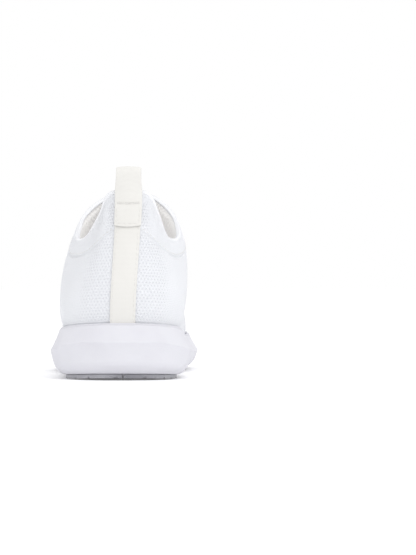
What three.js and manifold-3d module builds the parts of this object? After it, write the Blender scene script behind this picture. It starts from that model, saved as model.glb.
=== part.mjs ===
// A slip-on knit running shoe for the left foot, in millimetres.
// +Z is up, +Y points to the toe and +X to the inner (medial) side of the foot.
// The lasted outline where the upper meets the sole is the feather line. Everything is laid out from it.
// A place on the upper is (u, v): u runs once round the shoe, from the heel (0) along the medial side to
// the toe (1) and along the lateral side (-1 to 0), and v runs up from the sole's lip (0) to the collar or
// the ridge of the instep (1). Below the lip, v from 0 to -1 goes straight down to the bed of the midsole.

import * as THREE from "three";
import { mergeVertices } from "three/addons/utils/BufferGeometryUtils.js";
import Module from "manifold-3d";

const wasm = await Module();
wasm.setup();

// Overall sizes
const SOLE_LENGTH = 286;
const HEEL_WIDTH = 87;
const FOREFOOT_WIDTH = 96.5;
const HEEL_LIP = 34.5;
const FOREFOOT_LIP = 24;
const COLLAR_RISE = 77.8;
const COLLAR_WIDTH = 65;
const COLLAR_LEAN = 3.5;

// Sole
const SOLE_FLARE = 6.8;
const HEEL_EDGE_HEIGHT = 17;
const FOREFOOT_EDGE_HEIGHT = 13;
const HEEL_CREST = 5.8;
const HEEL_BEVEL = 1.6;
const TOE_SPRING = 15.5;
const OUTSOLE_THICKNESS = 2.4;
const OUTSOLE_INSET = 2.6;
const LIP_OUTSIDE = 0.6;
const LIP_INSIDE = -1;
const HEEL_CUP_DEPTH = 8.5;
const FOREFOOT_CUP_DEPTH = 7.5;
const POD_SPLIT = 7;

// Inside the shoe
const BOARD_THICKNESS = 1.2;
const LINER_THICKNESS = 4.5;
const LINER_HEEL_CUP = 8;
const LINER_FOREFOOT_CUP = 5.2;
const LINER_EDGE = 1.6;

// Layers of the upper
const GAP = 0.3;
const KNIT = 1.5;
const COUNTER = 1.2;
const LINING = 0.8;
const TOE_PUFF = 0.8;
const FOAM_EDGE = 0.6;
const FOAM_CROWN = 2.6;

// Ribbon of the heel tape and the pull loop
const RIBBON_WIDTH = 15;
const RIBBON = 1;
const LOOP_RISE = 17.2;
const LOOP_STIFF_START = 4.5;
const LOOP_GAP = 7.4;

// Ball of the foot, where the shoe flexes
const FLEX_STATION = 182;
const FLEX_HEIGHT = 17;
const FLEX_SLANT = 0.16;
const FLEX_WEDGE = THREE.MathUtils.degToRad(18.5);

const GROUP = new THREE.Group();
const UP = new THREE.Vector3(0, 0, 1);

// The pattern: stations are measured from the back of the feather line of a shoe of this length, and
// its half widths are those of a heel and a ball this wide.
const PATTERN = { length: 273, heel: 73, ball: 81.5, rise: 77.8, collar: 65 };
const ALONG = (SOLE_LENGTH - 2 * SOLE_FLARE) / PATTERN.length;
const RISE = COLLAR_RISE / PATTERN.rise;

// Feather line, row by row: station, medial half width, lateral half width
const FEATHER = [
  [0, 0, 0],
  [3, 15, 15.5],
  [14, 27.5, 29.5],
  [34, 33.5, 37.5],
  [60, 34, 39],
  [89, 31, 38.5],
  [114, 29, 38.5],
  [137, 30.5, 41],
  [157, 33, 44],
  [177, 35.8, 45.7],
  [201, 36.6, 45.2],
  [224, 36, 41],
  [244, 32.5, 34],
  [259, 26, 24],
  [269, 16, 9],
  [273, 5, -5],
];
const LAST_ROW = FEATHER.length - 1;

// Collar edge, for the first rows: station, medial half width, lateral half width, rise above the lip
const COLLAR = [
  [3, 0, 0, 77.8],
  [6.3, 11.5, 11.5, 77],
  [13, 18.5, 18.5, 64.4],
  [27, 23.5, 27, 54.1],
  [46, 28.5, 33, 53.7],
  [64, 30.5, 34.5, 59.5],
  [81, 26.8, 31, 71.5],
  [94, 15, 18.5, 83.7],
  [100, -1, 1, 89.1],
];
const COLLAR_ROW = COLLAR.length - 1;

// Ridge of the instep, from the collar's front to the toe: station, x, rise above the lip
const RIDGE = [
  [100, COLLAR_LEAN - 1, 89.1],
  [129, 2.5, 69.4],
  [160, 1, 53.4],
  [191, 0, 43],
  [217, 0, 36.5],
  [238, 1.5, 30.5],
  [253, 3.5, 24],
  [262, 5, 16],
];

// A smooth curve through [place, value] pairs, level beyond both ends
function profile(pairs) {
  const places = pairs.map((pair) => pair[0]);
  const values = pairs.map((pair) => pair[1]);
  const spline = new THREE.CubicInterpolant(places, values, 1);
  return (place) => spline.evaluate(place)[0];
}

// Heights along the sole, by station
const lipHeight = profile([
  [0, HEEL_LIP],
  [14, HEEL_LIP - 1.5],
  [40, HEEL_LIP - 3.5],
  [90, HEEL_LIP - 6.5],
  [140, FOREFOOT_LIP + 1],
  [190, FOREFOOT_LIP],
  [220, FOREFOOT_LIP + 0.5],
  [250, FOREFOOT_LIP + 3],
  [273, FOREFOOT_LIP + 7.5],
]);
const edgeHeight = profile([
  [0, HEEL_EDGE_HEIGHT + HEEL_CREST],
  [10, HEEL_EDGE_HEIGHT + 0.64 * HEEL_CREST],
  [25, HEEL_EDGE_HEIGHT + 0.26 * HEEL_CREST],
  [45, HEEL_EDGE_HEIGHT],
  [60, HEEL_EDGE_HEIGHT],
  [110, (HEEL_EDGE_HEIGHT + FOREFOOT_EDGE_HEIGHT) / 2],
  [160, FOREFOOT_EDGE_HEIGHT],
  [210, FOREFOOT_EDGE_HEIGHT],
  [235, FOREFOOT_EDGE_HEIGHT + 2],
  [260, FOREFOOT_EDGE_HEIGHT + 7],
  [273, FOREFOOT_EDGE_HEIGHT + 12],
]);
const treadCurve = profile([
  [-7, HEEL_BEVEL + 1.2],
  [0, HEEL_BEVEL],
  [8, HEEL_BEVEL * 0.66],
  [20, HEEL_BEVEL * 0.24],
  [32, 0],
  [60, 0],
  [160, 0],
  [190, 0],
  [215, TOE_SPRING * 0.08],
  [240, TOE_SPRING * 0.32],
  [260, TOE_SPRING * 0.68],
  [273, TOE_SPRING],
  [280, TOE_SPRING * 1.16],
]);
const treadHeight = (station) => Math.max(0, treadCurve(station));
const cupDepth = profile([
  [0, HEEL_CUP_DEPTH],
  [90, HEEL_CUP_DEPTH],
  [180, FOREFOOT_CUP_DEPTH],
  [273, FOREFOOT_CUP_DEPTH],
]);
const bedHeight = (station) => lipHeight(station) - cupDepth(station);

// How far the walls of the upper swell: by row, out from the feather line and from the top line
const lowSwell = profile([[0, 9.5], [2, 8], [3, 7], [5, 6], [7, 3], [10, 2.5], [13, 3], [15, 3]]);
const lowLift = profile([[0, 0.26], [5, 0.28], [8, 0.4], [12, 0.45], [15, 0.6]]);
const highSwell = profile([[0, 2], [1, 2.5], [2, 4], [3, 8], [4, 9], [6, 7], [8, 6]]);
const highDrop = profile([[0, 0.33], [1, 0.33], [2, 0.28], [3, 0.2], [4, 0.18], [8, 0.2]]);

// Sample places shared by every layer of the upper, so that their facets lie parallel
const ROW_STEP = 0.5;
const HEIGHTS = [-1, -0.9, 0, 0.1, 0.22, 0.34, 0.46, 0.56, 0.62, 0.7, 0.78, 0.86, 0.93, 1];
const COUNTER_LAST_ROW = 3.5;
const COUNTER_HEIGHTS = [-0.9, 0.56];
const FOAM_ROWS = [0.5, 6.5];
const FOAM_HEIGHTS = [0.62, 0.93];
const LINING_LAST_ROW = 7.5;
const LINING_HEIGHTS = [-0.9, 0.93];
const PUFF_FIRST_ROW = 12.5;

const rowOf = (u) => LAST_ROW * Math.abs(u);
const wrap = (u) => (u > 1 ? u - 2 : u <= -1 ? u + 2 : u);
const range = (first, last, step) =>
  Array.from({ length: Math.round((last - first) / step) + 1 }, (_, i) => first + i * step);
const heightsBetween = ([low, high]) => HEIGHTS.filter((v) => v >= low && v <= high);
const SIDE_STEPS = LAST_ROW / ROW_STEP;
const AROUND = range(1 - SIDE_STEPS, SIDE_STEPS, 1).map((i) => i / SIDE_STEPS);

// Half widths swell or shrink with the heel at the back and with the ball at the front.
function widthScale(station) {
  const heel = (HEEL_WIDTH - 2 * SOLE_FLARE) / PATTERN.heel;
  const ball = (FOREFOOT_WIDTH - 2 * SOLE_FLARE) / PATTERN.ball;
  return THREE.MathUtils.lerp(heel, ball, THREE.MathUtils.smoothstep(station, 60, 177));
}

// A closed curve from rows of [station, x, z] on the medial side and their lateral partners
function loopCurve(medial, lateral) {
  const middle = lateral.slice(1, -1).reverse();
  const points = [...medial, ...middle].map((p) => new THREE.Vector3(p[1], p[0] * ALONG, p[2]));
  return new THREE.CatmullRomCurve3(points, true, "catmullrom");
}

const featherCurve = loopCurve(
  FEATHER.map(([station, medial]) => [station, medial * widthScale(station), 0]),
  FEATHER.map(([station, , lateral]) => [station, -lateral * widthScale(station), 0]),
);
const collarPoint = (station, across, rise) => [
  station,
  COLLAR_LEAN + (across * COLLAR_WIDTH) / PATTERN.collar,
  lipHeight(station) + rise * RISE,
];
const collarCurve = loopCurve(
  COLLAR.map(([station, medial, , rise]) => collarPoint(station, medial, rise)),
  COLLAR.map(([station, , lateral, rise]) => collarPoint(station, -lateral, rise)),
);
const ridgeCurve = new THREE.CatmullRomCurve3(
  RIDGE.map(([s, x, rise]) => new THREE.Vector3(x, s * ALONG, lipHeight(s) + rise * RISE)),
  false,
  "catmullrom",
);

// A point of a closed curve at u, where the curve has so many rows on a side
function loopPoint(curve, u, rows) {
  const share = rowOf(u) / (2 * rows);
  return curve.getPoint(u >= 0 ? share : (1 - share) % 1);
}

// The plan's outward direction of a closed curve at u
function loopOutward(curve, u, rows) {
  const step = 0.02 / LAST_ROW;
  const ahead = loopPoint(curve, wrap(u + step), rows);
  const behind = loopPoint(curve, wrap(u - step), rows);
  return new THREE.Vector3(ahead.y - behind.y, behind.x - ahead.x, 0).normalize();
}

// A point at the given distance outside the feather line, at the height that a function of station gives
function soleEdge(u, offset, heightAt) {
  const point = loopPoint(featherCurve, u, LAST_ROW);
  point.addScaledVector(loopOutward(featherCurve, u, LAST_ROW), offset);
  point.z = heightAt(point.y / ALONG);
  return point;
}

const SKIN_INSET = 1.4;
const onLip = (u) => soleEdge(u, -SKIN_INSET, lipHeight);

const ridgeShare = (row) => Math.max(0, row - COLLAR_ROW) / (LAST_ROW - COLLAR_ROW);
const topLine = (u) =>
  rowOf(u) < COLLAR_ROW
    ? loopPoint(collarCurve, u, COLLAR_ROW)
    : ridgeCurve.getPoint(ridgeShare(rowOf(u)));

// The upper control point that makes the walls meet smoothly over the ridge of the instep
function ridgeControl(foot, top, row) {
  const along = ridgeCurve.getTangent(ridgeShare(row));
  const reach = (0.45 * (foot.y - top.y)) / along.y;
  const control = top.clone().addScaledVector(along, reach);
  control.x += 0.6 * (foot.x - top.x);
  return control;
}

// The upper control point under the rolled edge of the collar
function collarControl(u, foot, top) {
  const row = rowOf(u);
  const outward = loopOutward(collarCurve, u, COLLAR_ROW);
  const control = top.clone().addScaledVector(outward, highSwell(row));
  control.z -= highDrop(row) * (top.z - foot.z);
  return control;
}

// The outer surface of the upper
function skinPoint(u, v) {
  const row = rowOf(u);
  const foot = onLip(u);
  if (v < 0) {
    foot.z += v * (cupDepth(foot.y / ALONG) - GAP);
    return foot;
  }
  const top = topLine(u);
  const low = foot.clone().addScaledVector(loopOutward(featherCurve, u, LAST_ROW), lowSwell(row));
  low.z += lowLift(row) * (top.z - foot.z);
  const high = ridgeControl(foot, top, row);
  const share = THREE.MathUtils.smoothstep(row, 5, COLLAR_ROW);
  if (row < COLLAR_ROW) high.lerp(collarControl(u, foot, top), 1 - share);
  const rest = 1 - v;
  return foot
    .multiplyScalar(rest ** 3)
    .addScaledVector(low, 3 * rest * rest * v)
    .addScaledVector(high, 3 * rest * v * v)
    .addScaledVector(top, v ** 3);
}

function skinNormal(u, v) {
  const row = rowOf(u);
  if (v === 1 && row >= COLLAR_ROW) {
    const along = ridgeCurve.getTangent(ridgeShare(row));
    return new THREE.Vector3(0, -along.z, along.y).normalize();
  }
  const stepU = 0.05 / LAST_ROW;
  const stepV = 0.01;
  const around = skinPoint(wrap(u + stepU), v).sub(skinPoint(wrap(u - stepU), v));
  const rise = skinPoint(u, v + stepV).sub(skinPoint(u, v - stepV));
  return around.cross(rise).normalize();
}

// A point at the given distance outside the upper's skin
const layer = (u, v, out) => skinPoint(u, v).addScaledVector(skinNormal(u, v), out);

// Solids

function meshFrom(triangles) {
  const flat = triangles.flatMap((corner) => corner.toArray());
  const geometry = new THREE.BufferGeometry();
  geometry.setAttribute("position", new THREE.Float32BufferAttribute(flat, 3));
  return geometry;
}

const quad = (a, b, c, d) => [a, b, c, a, c, d];

// A sheet with a thickness: outer and inner are columns of points, from the low edge to the high edge.
// Column i is closed to the next one along its high edge only where openTop says so.
function sheetSolid(outer, inner, { closed = false, openTop = () => true } = {}) {
  const triangles = [];
  const last = outer[0].length - 1;
  const spans = closed ? outer.length : outer.length - 1;
  for (let i = 0; i < spans; i += 1) {
    const next = (i + 1) % outer.length;
    for (let j = 0; j < last; j += 1) {
      triangles.push(...quad(outer[i][j], outer[next][j], outer[next][j + 1], outer[i][j + 1]));
      triangles.push(...quad(inner[i][j], inner[i][j + 1], inner[next][j + 1], inner[next][j]));
    }
    triangles.push(...quad(inner[i][0], inner[next][0], outer[next][0], outer[i][0]));
    if (openTop(i)) {
      triangles.push(...quad(outer[i][last], outer[next][last], inner[next][last], inner[i][last]));
    }
  }
  if (!closed) {
    const end = outer.length - 1;
    for (let j = 0; j < last; j += 1) {
      triangles.push(...quad(outer[0][j], outer[0][j + 1], inner[0][j + 1], inner[0][j]));
      triangles.push(...quad(inner[end][j], inner[end][j + 1], outer[end][j + 1], outer[end][j]));
    }
  }
  return toSolid(meshFrom(triangles));
}

// A layer of the upper between two distances from the skin, which may change from place to place
function upperLayer(us, vs, outAt, inAt, options) {
  const column = (u, distance) => vs.map((v) => layer(u, v, distance(u, v)));
  const outer = us.map((u) => column(u, outAt));
  const inner = us.map((u) => column(u, inAt));
  return sheetSolid(outer, inner, options);
}

// A plate or tray in the sole: rings from the bottom up, each [distance outside the feather line, height]
function soleSolid(levels) {
  const rings = levels.map(([offset, heightAt]) => {
    const offsetAt = typeof offset === "function" ? offset : () => offset;
    return AROUND.map((u) => {
      const station = loopPoint(featherCurve, u, LAST_ROW).y / ALONG;
      return soleEdge(u, offsetAt(station), heightAt);
    });
  });
  const triangles = [];
  const count = AROUND.length;
  for (let k = 0; k + 1 < rings.length; k += 1) {
    for (let i = 0; i < count; i += 1) {
      const next = (i + 1) % count;
      triangles.push(...quad(rings[k][i], rings[k][next], rings[k + 1][next], rings[k + 1][i]));
    }
  }
  triangles.push(...rungs(rings[0], true), ...rungs(rings[rings.length - 1], false));
  return toSolid(meshFrom(triangles));
}

// Fills a ring with strips from side to side
function rungs(ring, facingDown) {
  const count = ring.length;
  const heel = AROUND.indexOf(0);
  const at = (i) => ring[(heel + i + count) % count];
  const triangles = [];
  for (let i = 0; i < count / 2; i += 1) {
    const strip = quad(at(-i), at(i), at(i + 1), at(-i - 1));
    triangles.push(...(facingDown ? strip.reverse() : strip));
  }
  return triangles;
}

function toSolid(geometry) {
  const bare = geometry.index ? geometry.toNonIndexed() : geometry.clone();
  bare.deleteAttribute("normal");
  bare.deleteAttribute("uv");
  const merged = mergeVertices(bare, 1e-3);
  const vertProperties = new Float32Array(merged.attributes.position.array);
  const triVerts = new Uint32Array(merged.index.array);
  return new wasm.Manifold(new wasm.Mesh({ numProp: 3, vertProperties, triVerts }));
}

function toGeometry(solid) {
  const mesh = solid.getMesh();
  const geometry = new THREE.BufferGeometry();
  geometry.setAttribute("position", new THREE.BufferAttribute(new Float32Array(mesh.vertProperties), 3));
  geometry.setIndex(new THREE.BufferAttribute(new Uint32Array(mesh.triVerts), 1));
  geometry.computeVertexNormals();
  return geometry;
}

// An outline extruded upwards
function planPrism(outline, low, high) {
  const shape = new THREE.Shape(outline.map(([x, y]) => new THREE.Vector2(x, y)));
  const geometry = new THREE.ExtrudeGeometry(shape, { depth: high - low, bevelEnabled: false });
  return toSolid(geometry.translate(0, 0, low));
}

// A side view's outline, [y, z], extruded from one x to another
function sidePrism(outline, from, to) {
  const shape = new THREE.Shape(outline.map(([y, z]) => new THREE.Vector2(y, z)));
  const geometry = new THREE.ExtrudeGeometry(shape, { depth: to - from, bevelEnabled: false });
  const sideways = new THREE.Matrix4().makeBasis(new THREE.Vector3(0, 1, 0), UP, new THREE.Vector3(1, 0, 0));
  return toSolid(geometry.applyMatrix4(sideways).translate(from, 0, 0));
}

function addNode(name, solid, finish) {
  const material = new THREE.MeshStandardMaterial(finish);
  const mesh = new THREE.Mesh(toGeometry(solid), material);
  mesh.name = name;
  GROUP.add(mesh);
}

// Finishes
const FOAM = { color: 0xe8e7ee, roughness: 0.75, metalness: 0 };
const RUBBER = { color: 0xd9d8dc, roughness: 0.6, metalness: 0 };
const KNIT_YARN = { color: 0xeef0f7, roughness: 0.9, metalness: 0 };
const LINING_CLOTH = { color: 0xd7d4d2, roughness: 0.9, metalness: 0 };
const PAD_FOAM = { color: 0xe6dfc8, roughness: 0.95, metalness: 0 };
const RIBBON_TWILL = { color: 0xf4f3f0, roughness: 0.8, metalness: 0 };
const STIFFENER = { color: 0xcfc8b8, roughness: 0.6, metalness: 0 };
const BOARD = { color: 0xf2f0ea, roughness: 0.9, metalness: 0 };
const LINER_CLOTH = { color: 0xcbc9c8, roughness: 0.9, metalness: 0 };

// Flex line: what lies behind it, what lies in front of it, and the wedge between them above the axis.
// The wedge is as wide as the two halves need to close on each other.
const REACH = 2 * SOLE_LENGTH;

function flexSide(direction) {
  const near = (direction * GAP) / Math.cos(FLEX_WEDGE);
  const lean = direction * REACH * Math.tan(FLEX_WEDGE);
  const outline = [
    [near, -REACH],
    [near, 0],
    [near + lean, REACH],
    [direction * 2 * REACH, REACH],
    [direction * 2 * REACH, -REACH],
  ];
  return placeOnFlex(sidePrism(outline, -REACH, REACH));
}

function flexWedge() {
  const lean = REACH * Math.tan(FLEX_WEDGE);
  return placeOnFlex(sidePrism([[0, 0], [lean, REACH], [-lean, REACH]], -REACH, REACH));
}

// Moves a solid drawn on the origin to the flex axis, which runs forward towards the medial side.
function placeOnFlex(solid) {
  const turn = THREE.MathUtils.radToDeg(Math.atan(FLEX_SLANT));
  return solid.rotate([0, 0, turn]).translate([0, FLEX_STATION * ALONG, FLEX_HEIGHT]);
}

const REAR_HALF = flexSide(-1);
const FRONT_HALF = flexSide(1);
const WEDGE = flexWedge();

// A piece that is whole on the real shoe becomes a rear and a forefoot node at the flex line.
function addSplit(name, solid, finish) {
  addNode(`${name}_rear`, solid.intersect(REAR_HALF), finish);
  addNode(`${name}_forefoot`, solid.intersect(FRONT_HALF), finish);
}

// Midsole: flared walls with a sharp widest edge, and a lip that cups the upper
function addMidsole() {
  const underside = (station) => treadHeight(station) + OUTSOLE_THICKNESS + GAP;
  const between = (share) => (station) =>
    THREE.MathUtils.lerp(underside(station), edgeHeight(station), share);
  const midsole = soleSolid([
    [0, underside],
    [0.43 * SOLE_FLARE, between(0.2)],
    [0.86 * SOLE_FLARE, between(0.65)],
    [SOLE_FLARE, edgeHeight],
    [LIP_OUTSIDE, lipHeight],
    [LIP_INSIDE, lipHeight],
    [LIP_INSIDE, bedHeight],
  ]);
  addSplit("midsole", midsole, FOAM);
}

// Outsole pods: bands across the tread, parted by a groove down the middle, none of them over the flex line
const PODS = [
  ["outsole_heel", 6, 52, true],
  ["outsole_midfoot", 58, 92, true],
  ["outsole_ball", 128, 178, true],
  ["outsole_forefoot", 186, 218, true],
  ["outsole_toe", 224, 268, false],
];

function addOutsole() {
  const tread = soleSolid([
    [-OUTSOLE_INSET, treadHeight],
    [-OUTSOLE_INSET, (station) => treadHeight(station) + OUTSOLE_THICKNESS],
  ]);
  const band = (left, right, start, end) => {
    const line = (x, station) => [x, station * ALONG + FLEX_SLANT * x];
    const outline = [line(left, start), line(right, start), line(right, end), line(left, end)];
    return tread.intersect(planPrism(outline, -REACH, REACH));
  };
  for (const [name, start, end, parted] of PODS) {
    if (parted) {
      addNode(`${name}_medial`, band(POD_SPLIT / 2, FOREFOOT_WIDTH, start, end), RUBBER);
      addNode(`${name}_lateral`, band(-FOREFOOT_WIDTH, -POD_SPLIT / 2, start, end), RUBBER);
    } else {
      addNode(name, band(-FOREFOOT_WIDTH, FOREFOOT_WIDTH, start, end), RUBBER);
    }
  }
}

// How far inside the feather line the bottom layers end: clear of the lining at the back of the shoe, and
// of the knit in front of it
const REAR_INSET = SKIN_INSET + KNIT + COUNTER + LINING + 3 * GAP;
const FRONT_INSET = SKIN_INSET + KNIT + 2 * GAP;
const bottomInset = (station) =>
  THREE.MathUtils.lerp(REAR_INSET, FRONT_INSET, THREE.MathUtils.smoothstep(station, 152, 176));

function addBoardAndLiner() {
  const aboveBed = (rise) => (station) => bedHeight(station) + rise;
  const inset = (extra) => (station) => -bottomInset(station) - extra;
  const boardTop = GAP + BOARD_THICKNESS;
  const board = soleSolid([
    [inset(0), aboveBed(GAP)],
    [inset(0), aboveBed(boardTop)],
  ]);
  addSplit("strobel_board", board, BOARD);
  const linerBase = boardTop + GAP;
  const cupTop = profile([
    [0, LINER_HEEL_CUP],
    [80, LINER_HEEL_CUP],
    [150, LINER_FOREFOOT_CUP],
    [273, LINER_FOREFOOT_CUP],
  ]);
  const cupHeight = (station) => aboveBed(linerBase + cupTop(station))(station);
  const liner = soleSolid([
    [inset(GAP), aboveBed(linerBase)],
    [inset(GAP), cupHeight],
    [inset(GAP + LINER_EDGE), cupHeight],
    [inset(GAP + 3 * LINER_EDGE), aboveBed(linerBase + LINER_THICKNESS)],
  ]);
  addSplit("sock_liner", liner, LINER_CLOTH);
}

// Knit upper: one sock-like shell, open at the collar and along its bottom edge
function addKnitUpper() {
  const inCollar = (u) => rowOf(u) < COLLAR_ROW;
  const openTop = (i) => inCollar(AROUND[i]) || inCollar(AROUND[(i + 1) % AROUND.length]);
  const shell = upperLayer(AROUND, HEIGHTS, () => 0, () => -KNIT, { closed: true, openTop });
  addSplit("knit_upper", shell, KNIT_YARN);
  addNode("vamp_flex_zone", shell.intersect(WEDGE), KNIT_YARN);
}

const rowsToU = (first, last) => range(first, last, ROW_STEP).map((row) => row / LAST_ROW);
const within = (value, [low, high]) => value >= low && value <= high;
const shareOf = (value, [low, high]) => (value - low) / (high - low);

// Thickness of the collar's padding: thin at the edges of each pad and full in the middle
function foamThickness(u, v) {
  const row = rowOf(u);
  if (!within(row, FOAM_ROWS) || !within(v, FOAM_HEIGHTS)) return 0;
  const crown = Math.sin(Math.PI * shareOf(row, FOAM_ROWS)) ** 0.6;
  return FOAM_EDGE + FOAM_CROWN * crown * Math.sin(Math.PI * shareOf(v, FOAM_HEIGHTS));
}

// Depth of the lining's outer face under the skin: behind the counter, the padding or the knit
function liningDepth(u, v) {
  const counter = rowOf(u) <= COUNTER_LAST_ROW && within(v, COUNTER_HEIGHTS) ? COUNTER + GAP : 0;
  const foam = foamThickness(u, v);
  return KNIT + GAP + Math.max(counter, foam > 0 ? foam + GAP : 0);
}

function addHeelAndCollar() {
  const backing = -KNIT - GAP;
  const counter = upperLayer(
    rowsToU(-COUNTER_LAST_ROW, COUNTER_LAST_ROW),
    heightsBetween(COUNTER_HEIGHTS),
    () => backing,
    () => backing - COUNTER,
  );
  addNode("heel_counter", counter, STIFFENER);
  const foamHeights = heightsBetween(FOAM_HEIGHTS);
  const foamInside = (u, v) => backing - foamThickness(u, v);
  const pad = (first, last) => upperLayer(rowsToU(first, last), foamHeights, () => backing, foamInside);
  const [first, last] = FOAM_ROWS;
  addNode("collar_foam_medial", pad(first, last), PAD_FOAM);
  addNode("collar_foam_lateral", pad(-last, -first), PAD_FOAM);
  const lining = upperLayer(
    rowsToU(-LINING_LAST_ROW, LINING_LAST_ROW),
    heightsBetween(LINING_HEIGHTS),
    (u, v) => -liningDepth(u, v),
    (u, v) => -liningDepth(u, v) - LINING,
  );
  addNode("quarter_lining", lining, LINING_CLOTH);
}

// Toe puff: a thin stiff cap inside the toe, closed over the ridge
function addToePuff() {
  const rows = range(PUFF_FIRST_ROW, 2 * LAST_ROW - PUFF_FIRST_ROW, ROW_STEP);
  const us = rows.map((row) => wrap(row / LAST_ROW));
  const backing = -KNIT - GAP;
  const inside = () => backing - TOE_PUFF;
  const puff = upperLayer(us, heightsBetween([0, 1]), () => backing, inside, { openTop: () => false });
  addNode("toe_puff", puff, STIFFENER);
}

// The u at which the skin lies a given distance to the medial side of the heel's middle line
function uBeside(distance, v) {
  if (distance === 0) return 0;
  const middle = skinPoint(0, v).x;
  let u = distance / (2 * HEEL_WIDTH);
  for (let pass = 0; pass < 8; pass += 1) u *= distance / (skinPoint(u, v).x - middle);
  return u;
}

const ACROSS = [-0.5, -0.25, 0, 0.25, 0.5].map((part) => part * RIBBON_WIDTH);
const TAPE_START = 0.04;
const TAPE_HEIGHTS = [TAPE_START, ...HEIGHTS.filter((v) => v > TAPE_START)];

function ribbonOnSkin(heights, out) {
  return ACROSS.map((distance) => heights.map((v) => layer(uBeside(distance, v), v, out)));
}

function addHeelTape() {
  const outer = ribbonOnSkin(TAPE_HEIGHTS, GAP + RIBBON);
  const inner = ribbonOnSkin(TAPE_HEIGHTS, GAP);
  addNode("heel_tape", sheetSolid(outer, inner), RIBBON_TWILL);
}

// Pull loop: a ribbon that stands up behind the collar, sewn down at both ends
const collarTop = skinPoint(0, 1);
const LOOP_BACK = collarTop.y - 2 * (GAP + RIBBON);
const LOOP_FRONT = LOOP_BACK + LOOP_GAP + 2 * RIBBON;
const LOOP_FOLD = new THREE.Vector3(collarTop.x, (LOOP_BACK + LOOP_FRONT) / 2, collarTop.z);
const stiffStart = collarTop.z + LOOP_STIFF_START;

function addPullLoop() {
  const radius = (LOOP_FRONT - LOOP_BACK) / 2;
  const crown = collarTop.z + LOOP_RISE - radius;
  const arch = (r, reverse) =>
    range(0, 12, 1).map((i) => {
      const angle = Math.PI * (reverse ? i / 12 : 1 - i / 12);
      return [LOOP_FOLD.y + r * Math.cos(angle), crown + r * Math.sin(angle)];
    });
  const outline = [
    [LOOP_BACK, stiffStart],
    ...arch(radius, false),
    [LOOP_FRONT, stiffStart],
    [LOOP_FRONT - RIBBON, stiffStart],
    ...arch(radius - RIBBON, true),
    [LOOP_BACK + RIBBON, stiffStart],
  ];
  const side = RIBBON_WIDTH / 2;
  const loop = sidePrism(outline.reverse(), collarTop.x - side, collarTop.x + side);
  addNode("pull_loop", loop, RIBBON_TWILL);
}

// A sewn end of the ribbon: it follows the skin at a distance, then straightens up to meet the loop
function ribbonEnd(heights, out, loopY) {
  const columns = ribbonOnSkin(heights, out);
  columns.forEach((column, i) => {
    const top = column[column.length - 1];
    const end = new THREE.Vector3(collarTop.x + ACROSS[i], loopY, stiffStart - GAP);
    const bend = top.clone().lerp(end, 0.5);
    bend.z += 0.4;
    column.push(bend, end);
  });
  return columns;
}

function addLoopEnds() {
  const back = 2 * GAP + RIBBON;
  const outerHeights = HEIGHTS.filter((v) => v >= 0.78);
  const outerLeg = sheetSolid(
    ribbonEnd(outerHeights, back + RIBBON, LOOP_BACK),
    ribbonEnd(outerHeights, back, LOOP_BACK + RIBBON),
  );
  addNode("pull_loop_outer_end", outerLeg, RIBBON_TWILL);
  const innerHeights = HEIGHTS.filter((v) => v >= 0.86);
  const front = LOOP_FRONT - RIBBON - collarTop.y;
  const innerLeg = sheetSolid(
    ribbonEnd(innerHeights, -front, LOOP_FRONT - RIBBON),
    ribbonEnd(innerHeights, -front - RIBBON, LOOP_FRONT),
  );
  addNode("pull_loop_inner_end", innerLeg, RIBBON_TWILL);
}

addMidsole();
addOutsole();
addBoardAndLiner();
addKnitUpper();
addHeelAndCollar();
addToePuff();
addHeelTape();
addPullLoop();
addLoopEnds();

// The part's origin is under the middle of its box, on the surface that it stands on.
const box = new THREE.Box3().setFromObject(GROUP);
const middle = box.getCenter(new THREE.Vector3());
GROUP.position.set(-middle.x, -middle.y, -box.min.z);

const shoe = new THREE.Group();
shoe.add(GROUP);
export default shoe;
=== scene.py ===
"""A slip-on knit running shoe for the left foot, dressed around its CAD frame.

Sizes are in millimetres of the shoe's own pattern, where +X is the inner side of the foot, +Y the toe and
+Z up. Meshes are in metres, in the frame of the CAD model. A place on the upper is (u, v): u runs once round
the shoe, from the heel (0) along the inner side to the toe (1) and along the outer side (-1 to 0), and v
runs from the lip of the sole (0) up to the collar or the ridge of the instep (1).
"""

import logging
import math
from dataclasses import dataclass
from enum import Enum
from typing import Callable, Sequence

import bmesh
import bpy
import numpy as np
from mathutils import Matrix, Vector


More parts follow.
